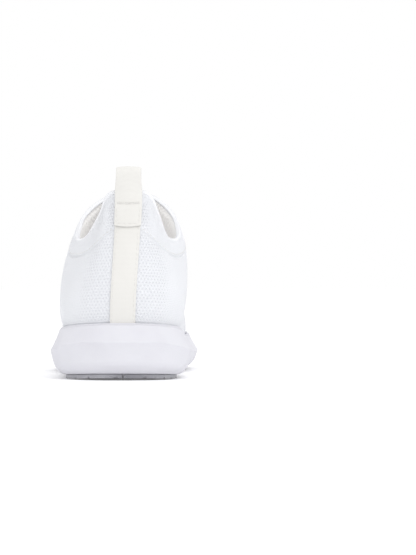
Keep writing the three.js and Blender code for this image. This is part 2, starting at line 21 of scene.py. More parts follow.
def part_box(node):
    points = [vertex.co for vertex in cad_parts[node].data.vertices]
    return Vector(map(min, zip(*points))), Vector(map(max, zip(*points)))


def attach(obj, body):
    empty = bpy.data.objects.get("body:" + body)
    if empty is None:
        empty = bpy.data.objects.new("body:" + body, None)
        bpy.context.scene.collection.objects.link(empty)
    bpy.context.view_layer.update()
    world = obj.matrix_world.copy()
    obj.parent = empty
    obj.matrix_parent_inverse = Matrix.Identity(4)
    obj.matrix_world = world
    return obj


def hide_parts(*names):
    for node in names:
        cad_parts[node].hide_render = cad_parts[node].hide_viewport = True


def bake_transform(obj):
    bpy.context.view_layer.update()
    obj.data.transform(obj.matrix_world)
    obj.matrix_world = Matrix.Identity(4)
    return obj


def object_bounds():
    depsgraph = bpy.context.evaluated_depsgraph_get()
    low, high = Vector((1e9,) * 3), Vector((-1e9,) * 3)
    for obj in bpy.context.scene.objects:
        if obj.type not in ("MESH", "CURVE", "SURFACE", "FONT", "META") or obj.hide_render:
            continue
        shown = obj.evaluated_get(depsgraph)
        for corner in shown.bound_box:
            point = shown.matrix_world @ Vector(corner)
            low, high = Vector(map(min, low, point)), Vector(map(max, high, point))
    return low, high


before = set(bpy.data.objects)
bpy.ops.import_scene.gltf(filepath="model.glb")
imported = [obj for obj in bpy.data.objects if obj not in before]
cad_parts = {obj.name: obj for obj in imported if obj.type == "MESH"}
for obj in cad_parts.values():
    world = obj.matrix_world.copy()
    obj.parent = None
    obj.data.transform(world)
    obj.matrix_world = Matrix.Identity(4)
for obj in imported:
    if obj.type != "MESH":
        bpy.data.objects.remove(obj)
cad_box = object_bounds()

log = logging.getLogger("running_shoe")

MM = 0.001
Curve = Callable[[np.ndarray], np.ndarray]
Colour = tuple[float, float, float]

REAR = "rear_shoe"
FOREFOOT = "forefoot"
UP = np.array([0.0, 0.0, 1.0])
WEAVE = "weave"


# Curves and the shape of the shoe


def hermite(start, end, slope_in, slope_out, share):
    """Cubic between two values with the given slopes.

    Args:
        start: Value at share 0.
        end: Value at share 1.
        slope_in: Slope at share 0, per unit of share.
        slope_out: Slope at share 1, per unit of share.
        share: Place between the two, from 0 to 1.

    Returns:
        The value there.
    """
    square, cube = share * share, share**3
    return (
        start * (2 * cube - 3 * square + 1)
        + slope_in * (cube - 2 * square + share)
        + end * (3 * square - 2 * cube)
        + slope_out * (cube - square)
    )


def level_curve(pairs: Sequence[tuple[float, float]]) -> Curve:
    """A smooth curve through (place, value) pairs, level beyond both ends.

    Args:
        pairs: Places in rising order, each with its value.

    Returns:
        A function from places to values.
    """
    places, values = np.array(pairs, float).T
    secants = np.diff(values) / np.diff(places)
    slopes = np.concatenate([secants[:1], (secants[:-1] + secants[1:]) / 2, secants[-1:]])

    def at(place):
        """The value at each place."""
        inside = np.clip(place, places[0], places[-1])
        i = np.clip(np.searchsorted(places, inside, side="right") - 1, 0, len(places) - 2)
        width = places[i + 1] - places[i]
        share = (inside - places[i]) / width
        return hermite(values[i], values[i + 1], slopes[i] * width, slopes[i + 1] * width, share)

    return at


def through(points: np.ndarray, closed: bool) -> Curve:
    """A smooth space curve through points, with parameter 0 to 1 in equal steps from point to point.

    Args:
        points: The points, one a row.
        closed: Whether the last point joins the first.

    Returns:
        A function from parameters to points.
    """
    if closed:
        spans = len(points)
        padded = np.vstack([points[-1:], points, points[:2]])
    else:
        spans = len(points) - 1
        padded = np.vstack([2 * points[0] - points[1], points, 2 * points[-1] - points[-2]])

    def at(parameter):
        """The point at each parameter."""
        place = (parameter % 1.0 if closed else np.clip(parameter, 0, 1)) * spans
        i = np.minimum(np.floor(place).astype(int), spans - 1)
        a, b, c, d = padded[i], padded[i + 1], padded[i + 2], padded[i + 3]
        return hermite(b, c, (c - a) / 2, (d - b) / 2, (place - i)[:, None])

    return at


def smooth(value, low: float, high: float):
    """0 below low, 1 above high and a smooth rise between them; low may be above high."""
    share = np.clip((value - low) / (high - low), 0, 1)
    return share * share * (3 - 2 * share)


def unit(vectors: np.ndarray) -> np.ndarray:
    """Each row made one long."""
    return vectors / np.maximum(np.linalg.norm(vectors, axis=1, keepdims=True), 1e-12)


def bell(distance, width: float):
    """1 at distance 0, and near 0 past about two widths."""
    return np.exp(-((distance / width) ** 2))


@dataclass(frozen=True)
class Sizes:
    """Driving sizes of the shoe, in millimetres."""

    heel_width: float = 87.0
    forefoot_width: float = 96.5
    heel_lip: float = 34.5
    forefoot_lip: float = 24.0
    collar_lean: float = 3.5
    flare: float = 6.8
    heel_edge: float = 17.0
    forefoot_edge: float = 13.0
    heel_crest: float = 5.8
    heel_bevel: float = 1.6
    toe_spring: float = 15.5
    outsole: float = 2.4
    heel_cup: float = 8.5
    forefoot_cup: float = 7.5
    gap: float = 0.3
    skin_inset: float = 1.4
    knit: float = 1.2
    lining: float = 0.7
    ribbon_width: float = 15.0
    ribbon: float = 0.9
    flex_station: float = 182.0
    flex_slant: float = 0.16


@dataclass(frozen=True)
class Pattern:
    """Outline tables of the last: station from the heel, then half widths or rises, in millimetres."""

    length: float = 273.0
    heel: float = 73.0
    ball: float = 81.5
    feather: tuple = (
        (0, 0, 0),
        (3, 15, 15.5),
        (14, 27.5, 29.5),
        (34, 33.5, 37.5),
        (60, 34, 39),
        (89, 31, 38.5),
        (114, 29, 38.5),
        (137, 30.5, 41),
        (157, 33, 44),
        (177, 35.8, 45.7),
        (201, 36.6, 45.2),
        (224, 36, 41),
        (244, 32.5, 34),
        (259, 26, 24),
        (269, 16, 9),
        (273, 5, -5),
    )
    collar: tuple = (
        (3, 0, 0, 77.8),
        (6.3, 11.5, 11.5, 77),
        (13, 18.5, 18.5, 64.4),
        (27, 23.5, 27, 54.1),
        (46, 28.5, 33, 53.7),
        (64, 30.5, 34.5, 59.5),
        (81, 26.8, 31, 71.5),
        (94, 15, 18.5, 83.7),
        (100, -1, 1, 89.1),
    )
    ridge: tuple = (
        (100, 2.5, 89.1),
        (129, 2.5, 69.4),
        (160, 1, 53.4),
        (191, 0, 43),
        (217, 0, 36.5),
        (238, 1.5, 30.5),
        (253, 3.5, 24),
        (262, 5, 16),
    )


class Last:
    """The shape that the shoe is built on: the feather line, the heights of the sole and the upper's skin."""

    def __init__(self, sizes: Sizes, pattern: Pattern) -> None:
        """Lays out the curves and finds where the pattern's origin lies in the frame.

        Args:
            sizes: Driving sizes.
            pattern: Outline tables.
        """
        self.sizes = sizes
        low, high = cad_box
        sole_length = (high.y - low.y) / MM
        self.along = (sole_length - 2 * sizes.flare) / pattern.length
        loop_low, loop_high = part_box("pull_loop")
        middle = (loop_low.x + loop_high.x) / 2 - sizes.collar_lean * MM
        self.origin = np.array([middle, low.y + sizes.flare * MM, 0.0])
        self.last_row = len(pattern.feather) - 1
        self.collar_row = len(pattern.collar) - 1
        self._heights()
        self._swells()
        self._curves(pattern)

    def _heights(self) -> None:
        """Heights along the sole, by station."""
        s = self.sizes
        heel, fore = s.heel_lip, s.forefoot_lip
        self.lip = level_curve(
            [
                (0, heel),
                (14, heel - 1.5),
                (40, heel - 3.5),
                (90, heel - 6.5),
                (140, fore + 1),
                (190, fore),
                (220, fore + 0.5),
                (250, fore + 3),
                (273, fore + 7.5),
            ]
        )
        low, high = s.forefoot_edge, s.heel_edge
        self.edge = level_curve(
            [
                (0, high + s.heel_crest),
                (10, high + 0.64 * s.heel_crest),
                (25, high + 0.26 * s.heel_crest),
                (45, high),
                (60, high),
                (110, (low + high) / 2),
                (160, low),
                (210, low),
                (235, low + 2),
                (260, low + 7),
                (273, low + 12),
            ]
        )
        bevel, spring = s.heel_bevel, s.toe_spring
        tread = level_curve(
            [
                (-7, bevel + 1.2),
                (0, bevel),
                (8, bevel * 0.66),
                (20, bevel * 0.24),
                (32, 0),
                (60, 0),
                (160, 0),
                (190, 0),
                (215, spring * 0.08),
                (240, spring * 0.32),
                (260, spring * 0.68),
                (273, spring),
                (280, spring * 1.16),
            ]
        )
        self.tread = lambda station: np.maximum(0, tread(station))
        self.cup = level_curve(
            [(0, s.heel_cup), (90, s.heel_cup), (180, s.forefoot_cup), (273, s.forefoot_cup)]
        )

    def _swells(self) -> None:
        """How far the walls of the upper swell, by row of the pattern."""
        low_swell = [(0, 9.5), (2, 8), (3, 7), (5, 6), (7, 3), (10, 2.5), (13, 3), (15, 3)]
        self.low_swell = level_curve(low_swell)
        self.low_lift = level_curve([(0, 0.26), (5, 0.28), (8, 0.4), (12, 0.45), (15, 0.6)])
        high_swell = [(0, 2), (1, 2.5), (2, 4), (3, 8), (4, 9), (6, 7), (8, 6)]
        self.high_swell = level_curve(high_swell)
        self.high_drop = level_curve([(0, 0.33), (1, 0.33), (2, 0.28), (3, 0.2), (4, 0.18), (8, 0.2)])

    def _curves(self, pattern: Pattern) -> None:
        """The feather line, the collar's edge and the ridge of the instep."""
        s = self.sizes
        heel = (s.heel_width - 2 * s.flare) / pattern.heel
        ball = (s.forefoot_width - 2 * s.flare) / pattern.ball

        def side(rows, sign, centre, widths, rises):
            """Points along one side, by row."""
            spots = zip(rows, widths, rises)
            return [(centre + sign * width, row[0] * self.along, rise) for row, width, rise in spots]

        def loop(medial, lateral):
            """Both sides as one closed curve."""
            return through(np.array(medial + lateral[1:-1][::-1], float), closed=True)

        stations = np.array([row[0] for row in pattern.feather], float)
        scale = heel + (ball - heel) * smooth(stations, 60, 177)
        flat = np.zeros(len(stations))
        inner = np.array([row[1] for row in pattern.feather]) * scale
        outer = np.array([row[2] for row in pattern.feather]) * scale
        self.feather_curve = loop(
            side(pattern.feather, 1, 0, inner, flat), side(pattern.feather, -1, 0, outer, flat)
        )
        rises = [float(self.lip(np.array(row[0]))) + row[3] for row in pattern.collar]
        self.collar_curve = loop(
            side(pattern.collar, 1, s.collar_lean, [row[1] for row in pattern.collar], rises),
            side(pattern.collar, -1, s.collar_lean, [row[2] for row in pattern.collar], rises),
        )
        ridge = [
            (x, y * self.along, float(self.lip(np.array(y))) + rise) for y, x, rise in pattern.ridge
        ]
        self.ridge_curve = through(np.array(ridge, float), closed=False)

    def row(self, u: np.ndarray) -> np.ndarray:
        """The pattern's row at u."""
        return self.last_row * np.abs(u)

    def loop_point(self, curve: Curve, u: np.ndarray, rows: int) -> np.ndarray:
        """Points of a closed curve that has so many rows on a side."""
        share = self.row(u) / (2 * rows)
        return curve(np.where(u >= 0, share, (1 - share) % 1))

    def loop_outward(self, curve: Curve, u: np.ndarray, rows: int) -> np.ndarray:
        """The plan's outward direction of a closed curve."""
        step = 0.02 / self.last_row
        ahead = self.loop_point(curve, wrap(u + step), rows)
        behind = self.loop_point(curve, wrap(u - step), rows)
        run = ahead - behind
        return unit(np.stack([run[:, 1], -run[:, 0], np.zeros(len(u))], axis=1))

    def station(self, points: np.ndarray) -> np.ndarray:
        """How far along the pattern the points lie."""
        return points[:, 1] / self.along

    def sole_edge(self, u: np.ndarray, offset, height_at: Curve) -> np.ndarray:
        """Points at a distance outside the feather line, at the height that a function of station gives."""
        points = self.loop_point(self.feather_curve, u, self.last_row)
        outward = self.loop_outward(self.feather_curve, u, self.last_row)
        points = points + outward * np.broadcast_to(offset, u.shape)[:, None]
        points[:, 2] = height_at(self.station(points))
        return points

    def ridge_share(self, row: np.ndarray) -> np.ndarray:
        """The ridge curve's parameter at a row."""
        return np.maximum(0, row - self.collar_row) / (self.last_row - self.collar_row)

    def ridge_tangent(self, row: np.ndarray) -> np.ndarray:
        """Direction of the ridge at a row, towards the toe."""
        share, step = self.ridge_share(row), 1e-4
        ahead = self.ridge_curve(np.minimum(1, share + step))
        return unit(ahead - self.ridge_curve(np.maximum(0, share - step)))

    def top_line(self, u: np.ndarray) -> np.ndarray:
        """The collar's edge, and in front of it the ridge."""
        row = self.row(u)
        collar = self.loop_point(self.collar_curve, u, self.collar_row)
        return np.where((row < self.collar_row)[:, None], collar, self.ridge_curve(self.ridge_share(row)))

    def skin(self, u: np.ndarray, v: np.ndarray) -> np.ndarray:
        """The outer surface of the upper.

        Args:
            u: Places round the shoe.
            v: Places up the wall; below 0 the surface goes straight down inside the sole's lip.

        Returns:
            One point a row, in pattern millimetres.
        """
        row = self.row(u)
        foot = self.sole_edge(u, -self.sizes.skin_inset, self.lip)
        top = self.top_line(u)
        rise = (top - foot)[:, 2:]
        swell = self.loop_outward(self.feather_curve, u, self.last_row) * self.low_swell(row)[:, None]
        low = foot + swell + UP * rise * self.low_lift(row)[:, None]
        along = self.ridge_tangent(row)
        reach = 0.45 * (foot[:, 1] - top[:, 1]) / along[:, 1]
        ridge = top + along * reach[:, None]
        ridge[:, 0] += 0.6 * (foot[:, 0] - top[:, 0])
        outward = self.loop_outward(self.collar_curve, u, self.collar_row)
        collar = top + outward * self.high_swell(row)[:, None] - UP * rise * self.high_drop(row)[:, None]
        share = smooth(row, 5, self.collar_row)[:, None]
        high = collar + (ridge - collar) * share
        up = np.maximum(v, 0)[:, None]
        rest = 1 - up
        wall = rest**3 * foot + 3 * rest**2 * up * low + 3 * rest * up**2 * high + up**3 * top
        depth = np.minimum(v, 0) * (self.cup(self.station(foot)) - self.sizes.gap)
        wall[:, 2] += depth
        return wall

    def normal(self, u: np.ndarray, v: np.ndarray) -> np.ndarray:
        """The outward direction of the upper's skin."""
        row = self.row(u)
        step_u, step_v = 0.05 / self.last_row, 0.01
        around = self.skin(wrap(u + step_u), v) - self.skin(wrap(u - step_u), v)
        rise = self.skin(u, v + step_v) - self.skin(u, v - step_v)
        normal = unit(np.cross(around, rise))
        along = self.ridge_tangent(row)
        crown = unit(np.stack([np.zeros(len(u)), -along[:, 2], along[:, 1]], axis=1))
        on_ridge = (v >= 1) & (row >= self.collar_row)
        return np.where(on_ridge[:, None], crown, normal)

    def layer(self, u: np.ndarray, v: np.ndarray, out) -> np.ndarray:
        """Points at a distance outside the upper's skin."""
        return self.skin(u, v) + self.normal(u, v) * np.broadcast_to(out, u.shape)[:, None]

    def beside_heel(self, distance: np.ndarray, v: np.ndarray) -> np.ndarray:
        """The u at which the skin lies a distance to the inner side of the heel's middle line."""
        middle = self.skin(np.zeros_like(v), v)[:, 0]
        u = distance / (2 * self.sizes.heel_width)
        for _ in range(8):
            reached = self.skin(u, v)[:, 0] - middle
            u = np.where(np.abs(distance) < 1e-6, 0, u * distance / np.where(reached == 0, 1, reached))
        return u

    def placed(self, points: np.ndarray) -> np.ndarray:
        """Pattern points in the frame, in metres."""
        return points * MM + self.origin


def wrap(u: np.ndarray) -> np.ndarray:
    """u brought back between -1 and 1."""
    return np.where(u > 1, u - 2, np.where(u <= -1, u + 2, u))


# Meshes


def finish_mesh(bm: bmesh.types.BMesh, name: str, weld: float = 1e-7) -> bpy.types.Object:
    """Turns a bmesh into an object of the scene, with doubles merged and smooth shading.

    Args:
        bm: The mesh in metres, in the frame; it is freed.
        name: The piece's name.
        weld: Points nearer than this become one, in metres.

    Returns:
        The new object.
    """
    bmesh.ops.remove_doubles(bm, verts=bm.verts, dist=weld)
    bmesh.ops.dissolve_degenerate(bm, edges=bm.edges, dist=weld)
    for face in bm.faces:
        face.smooth = True
    mesh = bpy.data.meshes.new(name)
    bm.to_mesh(mesh)
    bm.free()
    piece = bpy.data.objects.new(name, mesh)
    bpy.context.scene.collection.objects.link(piece)
    return piece


class Sheet:
    """A grid of columns and rows that a function lays out in space."""

    def __init__(self, columns: np.ndarray, rows: int) -> None:
        """Makes the flat grid.

        Args:
            columns: The u, or other place, of each column.
            rows: How many rows of points there are.
        """
        self.count = len(columns)
        self.rows = rows
        self.bm = bmesh.new()
        bmesh.ops.create_grid(self.bm, x_segments=self.count - 1, y_segments=rows - 1, size=0.5)
        self.bm.verts.ensure_lookup_table()
        flat = np.array([vert.co[:2] for vert in self.bm.verts])
        self.column = np.rint((flat[:, 0] + 0.5) * (self.count - 1)).astype(int)
        self.row = np.rint((flat[:, 1] + 0.5) * (rows - 1)).astype(int)
        self.u = np.asarray(columns, float)[self.column]

    def lay(self, points: np.ndarray) -> None:
        """Moves the grid's points, given in metres, to their places."""
        for vert, point in zip(self.bm.verts, points.tolist()):
            vert.co = point

    def map(self, across: np.ndarray, up: np.ndarray) -> None:
        """Gives the grid a UV map, in metres of cloth."""
        layer = self.bm.loops.layers.uv.new(WEAVE)
        pairs = np.stack([across, up], axis=1).tolist()
        for face in self.bm.faces:
            for corner in face.loops:
                corner[layer].uv = pairs[corner.vert.index]

    def paint(self, name: str, values: np.ndarray) -> None:
        """Gives each point a number that materials read by name."""
        layer = self.bm.verts.layers.float.new(name)
        for vert, value in zip(self.bm.verts, values.tolist()):
            vert[layer] = value

    def drop(self, unwanted: Callable[[np.ndarray], np.ndarray]) -> None:
        """Deletes the faces whose four corners a test marks.

        Args:
            unwanted: A function from point indices to truth values.
        """
        marks = unwanted(np.arange(len(self.bm.verts)))
        gone = [face for face in self.bm.faces if all(marks[vert.index] for vert in face.verts)]
        bmesh.ops.delete(self.bm, geom=gone, context="FACES_ONLY")

    def done(self, name: str) -> bpy.types.Object:
        """The finished piece, with its seams welded."""
        return finish_mesh(self.bm, name)


def lengths_up(points: np.ndarray, sheet: Sheet) -> np.ndarray:
    """Distance of each point along its column from the column's first point, in the points' unit."""
    table = np.zeros((sheet.count, sheet.rows, 3))
    table[sheet.column, sheet.row] = points
    steps = np.linalg.norm(np.diff(table, axis=1), axis=2)
    total = np.concatenate([np.zeros((sheet.count, 1)), np.cumsum(steps, axis=1)], axis=1)
    return total[sheet.column, sheet.row]


def spread(last: Last, fine: float, coarse: float, reach: float) -> np.ndarray:
    """Places round the shoe, close together at the heel and further apart elsewhere, alike on both sides.

    Args:
        last: The shoe's shape.
        fine: Spacing near the heel's middle line, in millimetres.
        coarse: Spacing elsewhere.
        reach: How far from the middle line the fine spacing goes.

    Returns:
        The columns' u, from -1 to 1.
    """
    samples = np.linspace(0, 1, 600)
    level = np.full_like(samples, 0.4)
    inner, outer = last.skin(samples, level), last.skin(-samples, level)
    step = np.linalg.norm(np.diff(inner, axis=0), axis=1) + np.linalg.norm(np.diff(outer, axis=0), axis=1)
    run = np.concatenate([[0], np.cumsum(step / 2)])
    spacing = fine + (coarse - fine) * smooth(run, reach, reach + 30)
    ticks = np.concatenate([[0], np.cumsum(np.diff(run) / spacing[1:])])
    count = int(round(ticks[-1]))
    side = np.interp(np.linspace(0, ticks[-1], count + 1), ticks, samples)
    side[-1] = 1.0
    return np.concatenate([-side[:0:-1], side])


def around_length(last: Last, u: np.ndarray) -> np.ndarray:
    """Signed distance round the shoe from the heel's middle line, half-way up the wall, in millimetres."""
    samples = np.linspace(-1, 1, 1601)
    points = last.skin(samples, np.full_like(samples, 0.4))
    run = np.concatenate([[0], np.cumsum(np.linalg.norm(np.diff(points, axis=0), axis=1))])
    return np.interp(u, samples, run - np.interp(0, samples, run))


# Materials


class Graph:
    """The shader nodes of one material, written as sums."""

    def __init__(self, name: str) -> None:
        """Makes the material with an empty shader.

        Args:
            name: The material's name.
        """
        self.material = bpy.data.materials.new(name)
        self.material.use_nodes = True
        self.tree = self.material.node_tree
        self.tree.nodes.clear()
        self.shader = self.tree.nodes.new("ShaderNodeBsdfPrincipled")
        output = self.tree.nodes.new("ShaderNodeOutputMaterial")
        self.tree.links.new(self.shader.outputs[0], output.inputs[0])

    def _set(self, socket, value) -> None:
        """Links a socket to another one, or sets it to a plain value."""
        if isinstance(value, bpy.types.NodeSocket):
            self.tree.links.new(value, socket)
        elif isinstance(value, (tuple, list)) and socket.type == "RGBA":
            socket.default_value = (*value[:3], 1.0)
        else:
            socket.default_value = value

    def math(self, operation: str, *values):
        """The result of a Math node."""
        node = self.tree.nodes.new("ShaderNodeMath")
        node.operation = operation
        for socket, value in zip(node.inputs, values):
            self._set(socket, value)
        return node.outputs[0]

    def add(self, a, b):
        """a + b."""
        return self.math("ADD", a, b)

    def subtract(self, a, b):
        """a - b."""
        return self.math("SUBTRACT", a, b)

    def multiply(self, a, b):
        """a * b."""
        return self.math("MULTIPLY", a, b)

    def fraction(self, a):
        """What is left of a above its whole number."""
        return self.math("FRACT", a)

    def wave(self, a):
        """A half wave over each whole step of a: 0 at its ends and 1 in its middle."""
        return self.math("SINE", self.multiply(self.fraction(a), math.pi))

    def ramp(self, value, low: float, high: float, start: float = 0.0, end: float = 1.0):
        """A smooth step of a value from one range to another.

        Args:
            value: What is stepped.
            low: Value where the step starts; it may be above high.
            high: Value where it ends.
            start: Result at low.
            end: Result at high.

        Returns:
            The socket that holds the result.
        """
        node = self.tree.nodes.new("ShaderNodeMapRange")
        node.interpolation_type = "SMOOTHSTEP"
        for key, setting in (
            ("Value", value),
            ("From Min", low),
            ("From Max", high),
            ("To Min", start),
            ("To Max", end),
        ):
            self._set(node.inputs[key], setting)
        return node.outputs[0]

    def object_place(self):
        """Object coordinates."""
        return self.tree.nodes.new("ShaderNodeTexCoord").outputs["Object"]

    def cloth_place(self):
        """The weave map's two coordinates, in metres of cloth."""
        node = self.tree.nodes.new("ShaderNodeUVMap")
        node.uv_map = WEAVE
        parts = self.tree.nodes.new("ShaderNodeSeparateXYZ")
        self.tree.links.new(node.outputs[0], parts.inputs[0])
        return parts.outputs[0], parts.outputs[1]

    def painted(self, name: str):
        """The number painted on the points under a name."""
        node = self.tree.nodes.new("ShaderNodeAttribute")
        node.attribute_name = name
        return node.outputs["Fac"]

    def noise(self, scale: float, detail: float = 2.0, place=None):
        """Noise between 0 and 1, with a feature size of one over scale, in metres."""
        node = self.tree.nodes.new("ShaderNodeTexNoise")
        self._set(node.inputs["Vector"], place if place is not None else self.object_place())
        node.inputs["Scale"].default_value = scale
        node.inputs["Detail"].default_value = detail
        return node.outputs["Fac"]

    def cells(self, scale: float, feature: str = "F1"):
        """Distance to the nearest point of a scatter."""
        node = self.tree.nodes.new("ShaderNodeTexVoronoi")
        node.feature = feature
        self._set(node.inputs["Vector"], self.object_place())
        node.inputs["Scale"].default_value = scale
        return node.outputs["Distance"]

    def blend(self, share, low: Colour, high):
        """A colour between two, each given or linked."""
        node = self.tree.nodes.new("ShaderNodeMix")
        node.data_type = "RGBA"
        node.clamp_factor = True
        self._set(node.inputs[0], share)
        self._set(node.inputs[6], low)
        self._set(node.inputs[7], high)
        return node.outputs[2]

    def bump(self, height, distance: float, strength: float = 1.0):
        """Drives the shader's normal by a height that is 0 to 1, over a depth in metres."""
        node = self.tree.nodes.new("ShaderNodeBump")
        node.inputs["Strength"].default_value = strength
        node.inputs["Distance"].default_value = distance
        self._set(node.inputs["Height"], height)
        self.tree.links.new(node.outputs[0], self.shader.inputs["Normal"])

    def colour(self, value) -> None:
        """Sets the base colour."""
        self._set(self.shader.inputs["Base Color"], value)

    def gloss(self, roughness, sheen: float = 0.0, specular: float = 0.5) -> None:
        """Sets the surface finish."""
        self._set(self.shader.inputs["Roughness"], roughness)
        self.shader.inputs["Sheen Weight"].default_value = sheen
        self.shader.inputs["Sheen Roughness"].default_value = 0.5
        self.shader.inputs["Specular IOR Level"].default_value = specular


@dataclass(frozen=True)
class KnitFinish:
    """Engineered knit: columns of V stitches, with open pits where the relief is painted, and painted shade
    between the stitches and in the pits.
    """

    name: str
    yarn: Colour
    # Painted shade between the stitches.
    shade: Colour
    # Painted shade in the pits.
    pit: Colour
    stitch: tuple[float, float] = (0.00135, 0.00105)
    pit_pitch: tuple[float, float] = (0.0022, 0.0019)

    def make(self) -> bpy.types.Material:
        """The material."""
        g = Graph(self.name)
        across, up = g.cloth_place()
        wale = g.fraction(g.math("DIVIDE", across, self.stitch[0]))
        lean = g.math("ABSOLUTE", g.subtract(wale, 0.5))
        course = g.add(g.math("DIVIDE", up, self.stitch[1]), g.multiply(lean, 1.5))
        yarn = g.math("POWER", g.wave(course), 0.7)
        leg = g.ramp(g.math("ABSOLUTE", g.subtract(lean, 0.25)), 0.25, 0.12)
        stitches = g.multiply(yarn, leg)
        pits = g.multiply(staggered_pits(g, across, up, self.pit_pitch), g.painted("relief"))
        fuzz = g.noise(2600, 3)
        height = g.add(g.subtract(g.multiply(stitches, 0.55), g.multiply(pits, 0.7)), g.multiply(fuzz, 0.18))
        g.bump(g.add(height, 0.9), 0.0004, 0.85)
        patches = g.ramp(g.noise(38, 3), 0.3, 0.7, 0.75, 1.0)
        # Painted shade: darker between the stitches; the random patches, the knit's own uneven tone, also mix
        # in some of it.
        cloth = g.blend(g.multiply(g.add(g.multiply(stitches, 0.6), 0.4), patches), self.shade, self.yarn)
        # Painted shade: darker in the pits.
        g.colour(g.blend(g.multiply(pits, 0.7), cloth, self.pit))
        g.gloss(0.88, sheen=0.25, specular=0.2)
        return g.material


def staggered_pits(g: Graph, across, up, pitch: tuple[float, float], size: float = 0.34):
    """Round pits on a staggered grid: 1 in a pit and 0 between pits.

    Args:
        g: The material's nodes.
        across: First coordinate, in metres.
        up: Second coordinate, in metres.
        pitch: Spacing of the pits in each direction, in metres.
        size: The pit's radius as a share of the pitch.

    Returns:
        The socket that holds the pits.
    """
    line = g.math("DIVIDE", up, pitch[1])
    odd = g.math("MODULO", g.math("FLOOR", line), 2.0)
    shifted = g.add(g.math("DIVIDE", across, pitch[0]), g.multiply(g.math("ABSOLUTE", odd), 0.5))
    x = g.subtract(g.fraction(shifted), 0.5)
    y = g.subtract(g.fraction(line), 0.5)
    distance = g.math("SQRT", g.add(g.multiply(x, x), g.multiply(y, y)))
    return g.ramp(distance, size, size * 0.45)


@dataclass(frozen=True)
class RibFinish:
    """A folded knit edge with fine ribs across it."""

    name: str
    yarn: Colour
    # Painted shade in the valleys between the ribs.
    shade: Colour
    pitch: float = 0.0011

    def make(self) -> bpy.types.Material:
        """The material."""
        g = Graph(self.name)
        across, up = g.cloth_place()
        ribs = g.wave(g.math("DIVIDE", across, self.pitch))
        loops = g.wave(g.math("DIVIDE", up, self.pitch * 0.8))
        height = g.add(g.multiply(ribs, 0.7), g.multiply(loops, 0.3))
        g.bump(g.add(height, g.multiply(g.noise(2400, 2), 0.2)), 0.0003, 0.8)
        # Painted shade: darker in the valleys between the ribs.
        g.colour(g.blend(height, self.shade, self.yarn))
        g.gloss(0.88, sheen=0.25, specular=0.2)
        return g.material


@dataclass(frozen=True)
class RibbonFinish:
    """Grosgrain ribbon: fine ribs across its width and a closer selvedge."""

    name: str
    weft: Colour
    # Painted shade in the valleys between the ribs.
    shade: Colour
    rib: float = 0.00075
    warp: float = 0.00045
    depth: float = 0.00011

    def make(self) -> bpy.types.Material:
        """The material."""
        g = Graph(self.name)
        across, up = g.cloth_place()
        ribs = g.math("POWER", g.wave(g.math("DIVIDE", up, self.rib)), 0.6)
        warps = g.wave(g.math("DIVIDE", across, self.warp))
        height = g.add(g.multiply(ribs, 0.75), g.multiply(g.multiply(warps, ribs), 0.25))
        g.bump(g.add(height, g.multiply(g.noise(3000, 2), 0.12)), self.depth, 0.7)
        # Painted shade: darker in the valleys between the ribs; the random noise, the ribbon's own uneven
        # tone, also mixes in some of it.
        tone = g.multiply(g.add(g.multiply(height, 0.65), 0.35), g.ramp(g.noise(55, 2), 0.3, 0.7, 0.85, 1.0))
        g.colour(g.blend(tone, self.shade, self.weft))
        g.gloss(0.72, sheen=0.2, specular=0.3)
        return g.material


@dataclass(frozen=True)
class MeshClothFinish:
    """Lining or liner cloth: a tight grid of small openings over a base, with painted shade in the openings.

    Attributes:
        glow: Painted light: how strongly the cloth glows in its own colour, standing in for daylight that
            comes through the knit behind it.
    """

    name: str
    cloth: Colour
    # Painted shade in the openings.
    hole_shade: Colour
    pitch: tuple[float, float] = (0.0017, 0.0015)
    glow: float = 0.0
    depth: float = 0.0003

    def make(self) -> bpy.types.Material:
        """The material."""
        g = Graph(self.name)
        across, up = g.cloth_place()
        pits = staggered_pits(g, across, up, self.pitch, 0.3)
        fuzz = g.noise(2200, 3)
        height = g.add(g.subtract(0.8, g.multiply(pits, 0.7)), g.multiply(fuzz, 0.3))
        g.bump(height, self.depth, 0.8)
        mottled = g.blend(g.ramp(g.noise(60, 3), 0.3, 0.7), tuple(0.93 * c for c in self.cloth), self.cloth)
        # Painted shade: darker in the openings.
        g.colour(g.blend(g.multiply(pits, 0.7), mottled, self.hole_shade))
        # Painted light: the cloth glows in its own colour, standing in for daylight through the knit behind
        # it.
        g.shader.inputs["Emission Color"].default_value = (*self.cloth, 1.0)
        g.shader.inputs["Emission Strength"].default_value = self.glow
        g.gloss(0.92, sheen=0.3, specular=0.15)
        return g.material


@dataclass(frozen=True)
class MouldedFinish:
    """Moulded foam or rubber: a fine grain, a soft mottle and a little dust near the ground."""

    name: str
    body: Colour
    mottle: Colour
    dust: Colour
    roughness: float
    grain: float = 900.0
    depth: float = 0.00012
    dust_height: float = 0.004
    wear: float = 0.06

    def make(self) -> bpy.types.Material:
        """The material."""
        g = Graph(self.name)
        place = g.object_place()
        parts = g.tree.nodes.new("ShaderNodeSeparateXYZ")
        g.tree.links.new(place, parts.inputs[0])
        grain = g.add(g.multiply(g.noise(self.grain, 4), 0.6), g.multiply(g.cells(self.grain * 1.7), 0.4))
        g.bump(grain, self.depth, 0.6)
        body = g.blend(g.ramp(g.noise(45, 3), 0.35, 0.65), self.mottle, self.body)
        low = g.ramp(parts.outputs[2], self.dust_height, 0.0)
        dust = g.multiply(low, g.ramp(g.noise(170, 4), 0.35, 0.7))
        g.colour(g.blend(g.multiply(dust, 0.5), body, self.dust))
        low_gloss, high_gloss = self.roughness - self.wear, self.roughness + self.wear
        g.gloss(g.ramp(g.noise(120, 2), 0.3, 0.7, low_gloss, high_gloss), specular=0.35)
        return g.material


